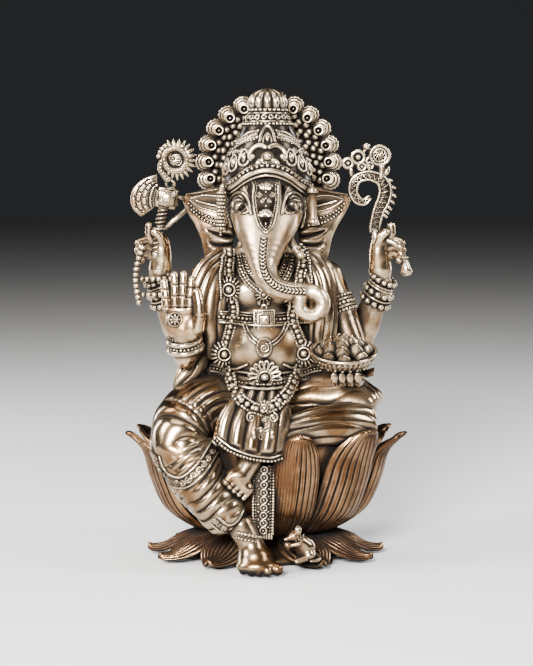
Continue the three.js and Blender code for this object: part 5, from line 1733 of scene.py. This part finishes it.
def hems():
    """The figured borders on the trousers and the chain at the ankle."""
    trim = Pieces()
    leg = ("right_thigh_piece", "right_shin_piece")
    ground = Pieces()
    knee = vec([-34.0, 36.0], [-32.4, 32.0], [-29.3, 29.3], [-24.6, 29.3], [-19.6, 33.6], [-15.4, 39.8])
    ankle = vec([-15.4, 17.6], [-12.6, 15.2], [-9.6, 15.0], [-6.8, 17.4], [-4.8, 21.4])
    for line, size in ((knee, 1.2), (ankle, 1.05)):
        dense = evenly(line, 0.7)
        edges = (offset_line(dense, half * size) for half in (1.3, -1.3))
        lay_ground(ground, *edges, leg, 0.12, 0.5, 60, 8)
        for side in (-1, 1):
            lay_wire(trim, line, 0.40, leg, 0.5, 1.38 * size * side, 0.9)
        lay_filigree(trim, line, size, leg, 0.26)
    piece("hem_ground", ground, "shaded")
    a = TAU * np.arange(26) / 26
    anklet = np.stack([np.cos(a), 0.92 * np.sin(a), 0.25 * np.cos(a + 2.6)], axis=-1)
    for z, r, bead in ((12.4, 4.4, 0.62), (10.8, 4.5, 0.4)):
        trim.balls(vec(-5.6, -30.4, z) + r * anklet, bead)
    piece("cloth_trim", trim, "ornament_brass")

    # the loose end of the shawl that falls beside the figure's right arm
    def relief(turn, t):
        return 0.8 * folds(6 * turn + 0.7 * t + 0.2 * np.sin(9 * t)) - 0.4

    path = vec([-20.6, -9.6, 68], [-23.4, -11.6, 62.4], [-26.2, -13.2, 57.2], [-28.2, -14.4, 52.8])
    tail = swept(path, [3.6, 3.9, 2.8, 0.9], relief, 60, 80, 0.5, up=-FRONT)
    piece("shawl_tail", tail, skin=True)


# ---------- bracelets and what the hands hold ----------


def add_bangles(pieces, start, way, axis, rows):
    """Rings round an arm; a row has its share of the way, radius, bead radius, and whether it is a wire."""
    axis = unit(axis)
    one = unit(np.cross(axis, FRONT if abs(axis[1]) < 0.9 else UP))
    two = np.cross(axis, one)
    for share, r, bead, wire in rows:
        count = 30 if wire else max(8, int(TAU * r / (2.05 * bead)))
        a = TAU * np.arange(count) / count
        places = start + share * way + r * (np.cos(a)[:, None] * one + np.sin(a)[:, None] * two)
        if wire:
            pieces.add(ring(places, bead, 6, axis))
        else:
            pieces.balls(places, bead)


def bangles():
    for name, side in (("right", -1), ("left", 1)):
        group = Pieces()
        _, elbow, wrist = ARMS[f"rear_{name}"][0]
        axis = unit(wrist - elbow)
        rows = ((1.6, 4.1, 0.95, False), (-0.2, 4.0, 0.42, True), (-1.1, 4.1, 0.42, True),
                (-2.8, 4.4, 1.1, False), (-4.6, 4.3, 0.5, True), (-6.2, 4.6, 1.1, False))
        add_bangles(group, wrist, axis, axis + vec(0.12 * side, 0, 0), rows)
        piece(f"{name}_wrist_rings", group, "ornament_brass", (f"{name}_bangles",))

    others = Pieces()
    axis = unit(vec(-0.10, -0.35, 1))
    rows = ((0.9, 4.4, 0.5, False), (-0.5, 4.9, 1.0, True), (-1.9, 5.2, 0.55, False), (-3.3, 5.1, 1.05, True))
    add_bangles(others, ARMS["front_right"][0][2] + vec(0, 0.4, 2.0), axis, axis, rows)
    shoulder, elbow, wrist = ARMS["front_left"][0]
    rows = ((0.30, 5.5, 0.6, False), (0.345, 5.5, 0.5, True), (0.39, 5.5, 0.75, False),
            (0.435, 5.5, 0.5, True), (0.48, 5.5, 0.6, False))
    add_bangles(others, shoulder, elbow - shoulder, elbow - shoulder, rows)
    axis = unit(wrist - elbow)
    rows = ((-0.4, 4.0, 0.6, False), (-1.7, 4.1, 0.45, True), (-3.0, 4.3, 0.7, False),
            (-4.3, 4.5, 0.45, True))
    add_bangles(others, wrist, axis, axis, rows)
    for name in ("rear_right", "rear_left"):
        shoulder, elbow, _ = ARMS[name][0]
        rows = ((0.45, 5.6, 0.6, False), (0.51, 5.6, 0.45, True), (0.57, 5.6, 0.6, False))
        add_bangles(others, shoulder, elbow - shoulder, elbow - shoulder, rows)
    piece("arm_rings", others, "ornament_brass")

    rosary = Pieces()
    cord = vec([-39.2, -3.2, 99.4], [-40.6, -4.4, 95], [-41.2, -4.8, 90], [-40.8, -4.8, 85.6],
               [-40.2, -4.4, 82.2])
    hanging = curve(cord, np.linspace(0, 1, 11))
    rosary.balls(hanging, 0.98, fine=True)
    rosary.add(tube(hanging, 0.25, 6, FRONT))
    for z, ends, count in ((89.6, (-39.4, -30.2), 6), (84.6, (-39.0, -31.6), 5)):
        y = -3.6 - 1.4 * np.sin(np.linspace(0.3, 2.8, count))
        rosary.balls(np.stack([np.linspace(*ends, count), y, np.full(count, z)], axis=-1), 0.95, fine=True)
    piece("rosary", rosary, "ornament_brass", ("prayer_beads",))

    flower = Pieces()
    (place,), normals = onto([[-28.0, 78.2]], 0.3, ("blessing_hand_piece",))
    palm = upright(normals)[0]
    for out in circle(1, 8):
        petal = placed([0.5 * out + vec(0, 0, 0.1), 1.5 * out], place, palm)
        flower.add(tube(petal, [0.22, 0.4], 6, palm[:, 2]))
    flower.balls(place, 0.45)
    add_ring(flower, place, palm, 2.1, 0.22, 0, 24)
    piece("palm_flower", flower, "ornament_brass")


STAFF_Y = -1.6
AXE_HEART = vec(-31.4, 115.2)
AXE_EDGE = vec([-39.6, 109.3], [-42.2, 111.8], [-43.0, 115.0], [-41.8, 118.6], [-38.6, 121.6], [-34.2, 122.8])
AXE_NECK = vec([-34.6, 112.8], [-34.3, 114.2], [-34.2, 115.4], [-34.3, 116.6], [-34.5, 117.6], [-34.5, 118.6])
STAFF_FLOWER = vec(-28.6, 127.4)
HOOK = vec([34.9, 104.6], [34.9, 106.4], [35.9, 110.9], [37.6, 114.8], [38.1, 118], [36.7, 121],
           [32.8, 122.4], [29, 121.2], [27.8, 118], [28.8, 115.1], [31.1, 114], [33.1, 115.4])
HOOK_WIDTHS = [3.3, 3.5, 3.7, 4.2, 4.2, 3.6, 3.2, 2.9, 2.9, 2.6, 2.2, 1.3]


def on_staff(*points):
    """Points given in X and Z, in the upright plane of what the rear hands hold."""
    return np.insert(np.array(points, dtype=float), 1, STAFF_Y, axis=1)


def axe():
    blade = Pieces()

    def surface(u, v):
        s = (u + 1) / 2
        x, z = np.moveaxis(mix(curve(AXE_NECK, s), curve(AXE_EDGE, s), np.asarray(v)[..., None]), -1, 0)
        return np.stack([x, STAFF_Y + 0 * s, z], axis=-1)

    def bricks(u, v):
        row = v * 5
        joint = np.abs(row - np.round(row)) * 1.7
        shifted = (u + 1) * 2.5 + 0.5 * (np.floor(row) % 2)
        upright_joint = np.where(v < 0.42, 1.0, np.abs(shifted - np.round(shifted)) * 3.2)
        arcs = smooth(0.42, 0.36, v) * smooth(0.3, 0.1, np.abs(v * 9 - np.round(v * 9)))
        groove = np.minimum(np.minimum(joint, upright_joint), 1 - arcs)
        inside = smooth(0.02, 0.08, v) * (1 - smooth(0.86, 0.9, v)) * (1 - smooth(0.88, 0.94, np.abs(u)))
        return 0.5 - 0.65 * inside * (1 - smooth(0.18, 0.4, groove))

    blade.add(leaf(surface, 1.3, bricks, 90, 100, facing=1))
    blade.add(leaf(surface, 1.3, bricks, 60, 70, facing=-1))
    profile = vec([4.4, -1.5], [4.5, 1.0], [4.1, 1.5], [3.6, 1.5], [3.3, 0.9], [2.7, 0.9], [2.4, 1.6],
                  [1.9, 1.6], [1.6, 1.0], [0.8, 1.3], [0.05, 1.4])
    block = spun(lathe(profile, 4), math.radians(45 - 11))
    for turn in (FACING, BEHIND):
        blade.add(put(block, on_staff(AXE_HEART)[0], turn))

    def twist(turn, t):
        return 0.34 * np.sin(TAU * (2 * turn + 5 * t))

    for start, end, r in ((vec(-32.4, 112.4), vec(-34.0, 105.9), 1.35),
                          (vec(-34.1, 105.2), vec(-34.9, 97.8), 1.3)):
        blade.add(swept(on_staff(start, (start + end) / 2, end), [r, r, r], twist, 60, 30, up=FRONT))
    blade.add(ring(on_staff([-34.1, 105.5]) + circle(1.7, 18), 0.45, 6, UP))
    blade.copies(BALL, on_staff([-35.0, 97.2]), 1.5)
    add_ring(blade, on_staff([-30.3, 119.6])[0], FACING, 1.25, 0.5, 0, 20, 8)
    blade.add(tube([[-28.6, STAFF_Y, 115.6], [-26.2, -0.6, 115.2]], 0.7, 8))
    blade.add(tube([[-25.6, -0.4, 111.2], [-29.0, -1.0, 108.4], [-32.6, -1.2, 105.4]], 0.8, 8))
    blade.balls(vec([-29.0, -1.2, 113.0], [-34.6, -2.6, 119.2]), 0.6)
    piece("axe_piece", blade, "ornament_brass", ("axe",))


def staff_flower():
    flower = Pieces()
    centre = on_staff(STAFF_FLOWER)[0]
    profile = vec([4.5, -0.1], [4.75, 0.3], [4.6, 0.8], [4.0, 1.2], [3.2, 1.2], [2.7, 0.7], [2.4, 0.15],
                  [0.05, 0.1])
    for turn in (FACING, BEHIND):
        flower.add(put(lathe(catmull(profile, 3), 36), centre, turn))
    flower.balls(placed(circle(3.6, 20) + vec(0, 0, 1.2), centre, FACING), 0.45)
    for x, z, r, hand, start in ((-0.7, 0.6, 1.5, 1, 2.0), (0.8, -0.8, 1.2, -1, 0.5)):
        for y, turn in ((-0.1, FACING), (0.7, BEHIND)):
            add_spiral(flower, centre + vec(x, y, z), turn, r, 0.32, 1.4, hand, start)
    for angle in np.radians(np.linspace(-118, 112, 15)):
        out = vec(math.cos(angle), math.sin(angle), 0)
        petal = placed([4.2 * out, 5.2 * out, 6.6 * out], centre, FACING)
        flower.add(tube(petal, [0.95, 0.72, 0.2], 8, FRONT))
    for angle in np.radians(np.linspace(126, 168, 4)):
        flower.copies(BALL, placed([5.3 * vec(math.cos(angle), math.sin(angle), 0)], centre, FACING), 0.95)
    stalk = on_staff([-33.0, 127.0], [-33.4, 124.6], [-32.2, 122.6], [-30.8, 120.9])
    stalk = curve(stalk, np.linspace(0, 1, 14))
    flower.add(tube(stalk, np.linspace(0.95, 1.2, 14), 10, FRONT))
    flower.balls(stalk[::2] + vec(0, -0.9, 0), 0.62)
    piece("staff_flower_piece", flower, "ornament_brass", ("staff_flower",))


def goad():
    """The elephant hook: a serpentine ribbon with a zigzag between its rails, teeth and a wheel on top."""
    hook = Pieces()
    t = np.linspace(0, 1, 90)
    path = curve(HOOK, t)
    half = along(HOOK_WIDTHS, t) / 2
    out = offset_line(path, 1.0) - path
    place = on_staff(*path)
    piece("goad_ribbon", tube(place, half, 14, FRONT, flat=0.5), "patina")

    def on_face(line, depth):
        """A line in X and Z on the front or the back of the ribbon."""
        return np.stack([line[:, 0], STAFF_Y + depth, line[:, 1]], axis=-1)

    bend = np.arange(0, 90, 2)
    swing = np.where(np.arange(45) % 2 == 0, -0.58, 0.58) * half[bend]
    for side_y in (-1, 1):
        for side in (-1, 1):
            rail = offset_line(path, (side * 0.82 * half)[:, None])
            hook.add(tube(on_face(rail, side_y * 0.25 * half), 0.42, 6, FRONT))
        zigzag = path[bend] + swing[:, None] * out[bend]
        hook.add(tube(on_face(zigzag, side_y * 0.475 * half[bend]), 0.24, 6, FRONT))
    for i in range(14, 46, 4):  # teeth along the outer edge
        away = -vec(out[i, 0], 0, out[i, 1])
        root = place[i] + (half[i] + 0.1) * away
        hook.add(tube([root, root + 1.1 * away + vec(0, 0, -0.5)], [0.75, 0.35], 8, FRONT))
    hook.add(tube(on_staff([34.9, 105.2], [35.2, 101], [35.6, 97.4]), 1.15, 10, FRONT))
    hook.copies(BALL, on_staff([35.6, 96.8]), 1.4)

    wheel = on_staff([36.3, 128.8])[0]
    profile = vec([3.3, -0.1], [3.5, 0.4], [3.1, 1.0], [2.5, 0.6], [2.3, 0.15], [1.9, 0.1], [0.05, 0.1])
    for turn in (FACING, BEHIND):
        hook.add(put(lathe(profile, 48), wheel, turn))
    for turn in (BEHIND, FACING):
        add_ring(hook, wheel, turn, 2.05, 0.3, 0.5, 30, 6)
        for a in TAU * np.arange(9) / 9:  # curved spokes
            r = np.linspace(0.3, 1.9, 7)
            arm = np.stack([r * np.cos(a + 0.7 * r), r * np.sin(a + 0.7 * r), np.full(7, 0.45)], axis=-1)
            hook.add(tube(placed(arm, wheel, turn), 0.2, 5, FRONT))
        hook.balls(placed([[0, 0, 0.5]], wheel, turn), 0.6)
    for x, z, r, wire in ((29.4, 128.2, 1.95, 0.6), (30.6, 125.2, 1.15, 0.5), (26.2, 126.3, 1.45, 0.55),
                          (33.2, 125.6, 1.0, 0.45)):
        add_ring(hook, on_staff([x, z])[0], FACING, r, wire, 0, 22, 8)
        hook.balls(on_staff([x, z]), 0.5 * r)
    stem = curve(on_staff([36.6, 121.4], [37.0, 123.4], [36.9, 125.6]), np.linspace(0, 1, 8))
    hook.add(tube(stem, 1.0, 8, FRONT))
    hook.add(tube(on_staff([33.0, 122.8], [33.0, 124.9], [32.0, 127.2], [33.2, 128.6]), 0.6, 8, FRONT))
    hook.add(tube(on_staff([27.4, 122.4], [27.0, 124.9]), 0.6, 8, FRONT))
    hook.copies(BALL, on_staff([32.1, 131.6]), 1.3)
    hook.add(tube(on_staff([31.0, 129.6], [32.0, 131.0], [33.4, 130.6]), 0.5, 8, FRONT))
    add_drop(hook, on_staff([38.6, 123.8])[0], upright(FRONT, unit(vec(0.5, 0, 1)))[0], 3.2, 1.3, 0.9)
    piece("goad_piece", hook, "ornament_brass", ("goad",))

    rod = Pieces()
    neck = vec([38.6, -1.8, 101.9], [41.4, -2.2, 100.6], [43.4, -2.2, 97.6], [44.4, -2.0, 95.0])
    rod.add(tube(curve(neck, np.linspace(0, 1, 14)), 1.05, 10, FRONT))
    rod.add(tube([[44.3, -2.0, 95.4], [44.7, -2.0, 93.4], [45.0, -2.0, 91.8]], [1.1, 1.4, 2.1], 12, FRONT))
    rod.add(ring(vec(43.9, -2.0, 96.4) + circle(1.3, 16), 0.4, 6, UP))
    piece("rod_in_left_hand", rod, "ornament_brass")


BOWL_TIP = 17  # degrees that the bowl leans towards the front


def tipped(shape, heart):
    """A shape leant towards the front about its heart, as the bowl is."""
    a = math.radians(BOWL_TIP)
    verts, quads, tris = shape
    turn = np.array([[1, 0, 0], [0, math.cos(a), -math.sin(a)], [0, math.sin(a), math.cos(a)]])
    return (verts - heart) @ turn.T + heart, quads, tris


def sweet_bowl():
    low, high = np.array(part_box("sweet_bowl")) / MM
    foot, rim_r = vec((low[0] + high[0]) / 2, -26.8, 62.6), (high[0] - low[0]) / 2
    heart = foot + vec(0, 0, 2.5)
    dish = Pieces()
    profile = vec([0.3, 0.1], [3.6, 0.1], [4.6, 0.5], [5.0, 1.1], [6.2, 1.9], [8.2, 3.3], [9.5, 4.9],
                  [10.1, 6.0], [10.4, 6.5], [10.1, 6.9], [9.5, 6.6], [8.4, 5.2], [5.6, 3.9], [0.3, 3.6])

    def ribs(a, t):
        return 1 + 0.022 * np.cos(36 * a) * smooth(0.15, 0.25, t) * (1 - smooth(0.48, 0.56, t))

    wide = vec(rim_r / 10.5, rim_r / 10.5, 1)
    dish.add(put(lathe(catmull(profile, 4), int(144 * FINE), ribs), foot, size=wide))
    dish.balls(foot + vec(0, 0, 5.2) + circle(0.93 * rim_r, 46), 0.34)
    dish.balls(foot + vec(0, 0, 3.2) + circle(0.80 * rim_r, 23), 0.5)
    piece("sweet_bowl_piece", tipped(dish.arrays(), heart), "ornament_brass", ("sweet_bowl",))

    heap = Pieces()
    profile = vec([0.05, -0.9], [1.6, -0.6], [2.15, 0.2], [2.2, 1.0], [1.8, 2.0], [1.05, 2.9], [0.5, 3.5],
                  [0.28, 4.0], [0.05, 4.2])

    def creases(a, t):
        fade = smooth(0.05, 0.25, t) * (1 - smooth(0.8, 1.0, t))
        return 1 + 0.13 * (np.abs(np.cos(4 * a)) ** 0.6 - 0.6) * fade

    sweet = lathe(catmull(profile, 3), 40, creases)
    rng = np.random.default_rng(4)
    # each ring of sweets: radius, count, first angle, size, height and how far they lean out
    for r, count, first, size, z, lean in ((7.0, 8, 0.0, 0.88, 5.5, 0.25), (4.3, 6, 0.4, 1.0, 6.9, 0.15),
                                           (2.0, 3, 0.2, 1.0, 8.2, 0.1), (0.0, 1, 0.0, 1.0, 8.9, 0.0)):
        for i in range(count):
            a = first + TAU * i / count + rng.uniform(-0.08, 0.08)
            out = vec(math.cos(a), math.sin(a), 0)
            up = unit(UP + lean * out + 0.42 * FRONT)
            one = unit(np.cross(up, FRONT + 0.3 * out))
            turn = np.stack([one, np.cross(up, one), up], axis=-1)
            heap.add(put(spun(sweet, rng.uniform(0, TAU)), foot + vec(0, 0, z) + r * out, turn, size))
    piece("sweets_piece", tipped(heap.arrays(), heart), "ornament_brass", ("sweets",))


def mouse():
    """The small companion at the foot: it sits up and holds a sweet."""
    body = Solid((2, -34, 1.5), (20, -22, 16), 0.2)
    body.ball((12.4, -27.4, 7.6), (3.1, 2.9, 3.5), 0.6)
    body.ball((11.0, -28.4, 9.4), (2.3, 2.2, 2.4), 0.9)
    body.ball((13.4, -28.4, 5.6), (2.2, 2.4, 2.0), 0.5)
    body.ball((8.9, -29.0, 11.6), (2.0, 1.9, 1.9), 0.6)
    body.cone((8.2, -29.6, 11.4), (6.2, -30.6, 10.8), 1.3, 0.55, 0.6)
    for dy in (-1.5, 1.2):
        body.ball((10.0, -28.9 + dy, 13.4), (1.1, 0.55, 1.25), 0.25)
        body.cone((10.2, -29.0 + dy, 9.4), (7.6, -29.9 + 0.5 * dy, 8.9), 0.75, 0.6, 0.35)
        body.cone((12.2, -28.6 + 1.2 * dy, 4.8), (9.6, -29.4 + 1.2 * dy, 4.0), 0.95, 0.75, 0.35)
    body.ball((6.8, -30.2, 8.9), (1.25, 1.25, 1.25), 0.15)
    tail = vec([15.2, -26.6, 5.4], [16.6, -27.6, 4.6], [16.2, -29.6, 4.2], [14.0, -30.6, 4.0])
    body.rod(tail, [0.8, 0.65, 0.5, 0.35], 0.3)
    piece("mouse_piece", body.surface(1), "figure_brass", ("mouse",))
    extras = Pieces()
    extras.balls(vec([8.0, -30.7, 12.2], [6.0, -30.8, 10.9]), 0.32)
    slanted = np.array([[0.75, 0, 0.5], [0, 1, 0], [0, 0, 0]])  # a circle made into a leaning oval
    extras.balls(vec(10.2, -28.8, 10.9) + circle(2.0, 12) @ slanted, 0.26)
    piece("mouse_collar", extras, "ornament_brass")


# ---------- studio ----------
FLOOR_GREY = (0.47, 0.465, 0.46, 1)
WORLD_COLOUR, WORLD_STRENGTH = (0.62, 0.66, 0.72, 1), 0.035
LENS, SENSOR = 104.8, 36  # mm
CAMERA_PLACE, CAMERA_AIM = (0.0003, -0.62, 0.125), (0.0003, 0, 0.072)
LIGHTS = (  # name, place, size, power in W, colour, height that it is aimed at
    ("key", (-0.16, -0.80, 0.36), (0.25, 0.21), 52, (1, 0.98, 0.95), 0.09),
    ("side", (-0.48, -0.20, 0.42), (0.20, 0.30), 8, (1, 0.97, 0.93), 0.09),
    ("fill", (0.50, -0.20, 0.42), (0.16, 0.30), 5, (0.95, 0.97, 1), 0.09),
    ("top", (-0.03, -0.08, 0.62), (0.34, 0.34), 3, (1, 0.99, 0.97), 0.10),
    ("rim_left", (-0.50, 0.30, 0.22), (0.09, 0.40), 3.4, (0.93, 0.96, 1), 0.09),
    ("rim_right", (0.50, 0.30, 0.22), (0.09, 0.40), 3.4, (0.93, 0.96, 1), 0.09),
)


def stand(name, data, place, aim):
    """Puts a light or a camera in its place, looking at its aim."""
    thing = bpy.data.objects.new(name, data)
    thing.location = place
    thing.rotation_euler = (Vector(aim) - thing.location).to_track_quat("-Z", "Y").to_euler()
    bpy.context.scene.collection.objects.link(thing)
    return thing


def studio():
    """A pale floor just below the figure, six soft lights and the camera."""
    bpy.ops.mesh.primitive_plane_add(size=6, location=(0, 1.0, -0.0002))
    floor = bpy.context.object
    floor.name = "floor"
    material = bpy.data.materials.new("floor_look")
    material.use_nodes = True
    shader = material.node_tree.nodes["Principled BSDF"]
    socket(shader, "Base Color", FLOOR_GREY)
    socket(shader, "Roughness", 0.7)
    floor.data.materials.append(material)

    world = bpy.data.worlds.new("studio")
    bpy.context.scene.world = world
    world.use_nodes = True
    background = world.node_tree.nodes["Background"]
    socket(background, "Color", WORLD_COLOUR)
    socket(background, "Strength", WORLD_STRENGTH)

    for name, place, size, power, colour, height in LIGHTS:
        light = bpy.data.lights.new(name, "AREA")
        light.shape, light.size, light.size_y = "RECTANGLE", *size
        light.energy, light.color = power, colour
        stand(name, light, place, (0, 0, height))

    lens = bpy.data.cameras.new("camera")
    lens.sensor_fit, lens.sensor_height, lens.sensor_width, lens.lens = "AUTO", SENSOR, SENSOR, LENS
    bpy.context.scene.camera = stand("camera", lens, CAMERA_PLACE, CAMERA_AIM)


studio()
lotus()
torso()
head()
nape_locks()
for ear_side in (-1, 1):
    ear(ear_side)
arms()
blessing_hand()
for hand_side in (-1, 1):
    rear_hand(hand_side)
bowl_hand()
legs()
right_foot()
left_foot()
apron()
for shawl_side in (-1, 1):
    shawl(shawl_side)
for build in (crown, halo, face, ear_beads, tassels, necklaces, belt, sash, hems, bangles, axe, staff_flower,
              goad, sweet_bowl, mouse):
    build()
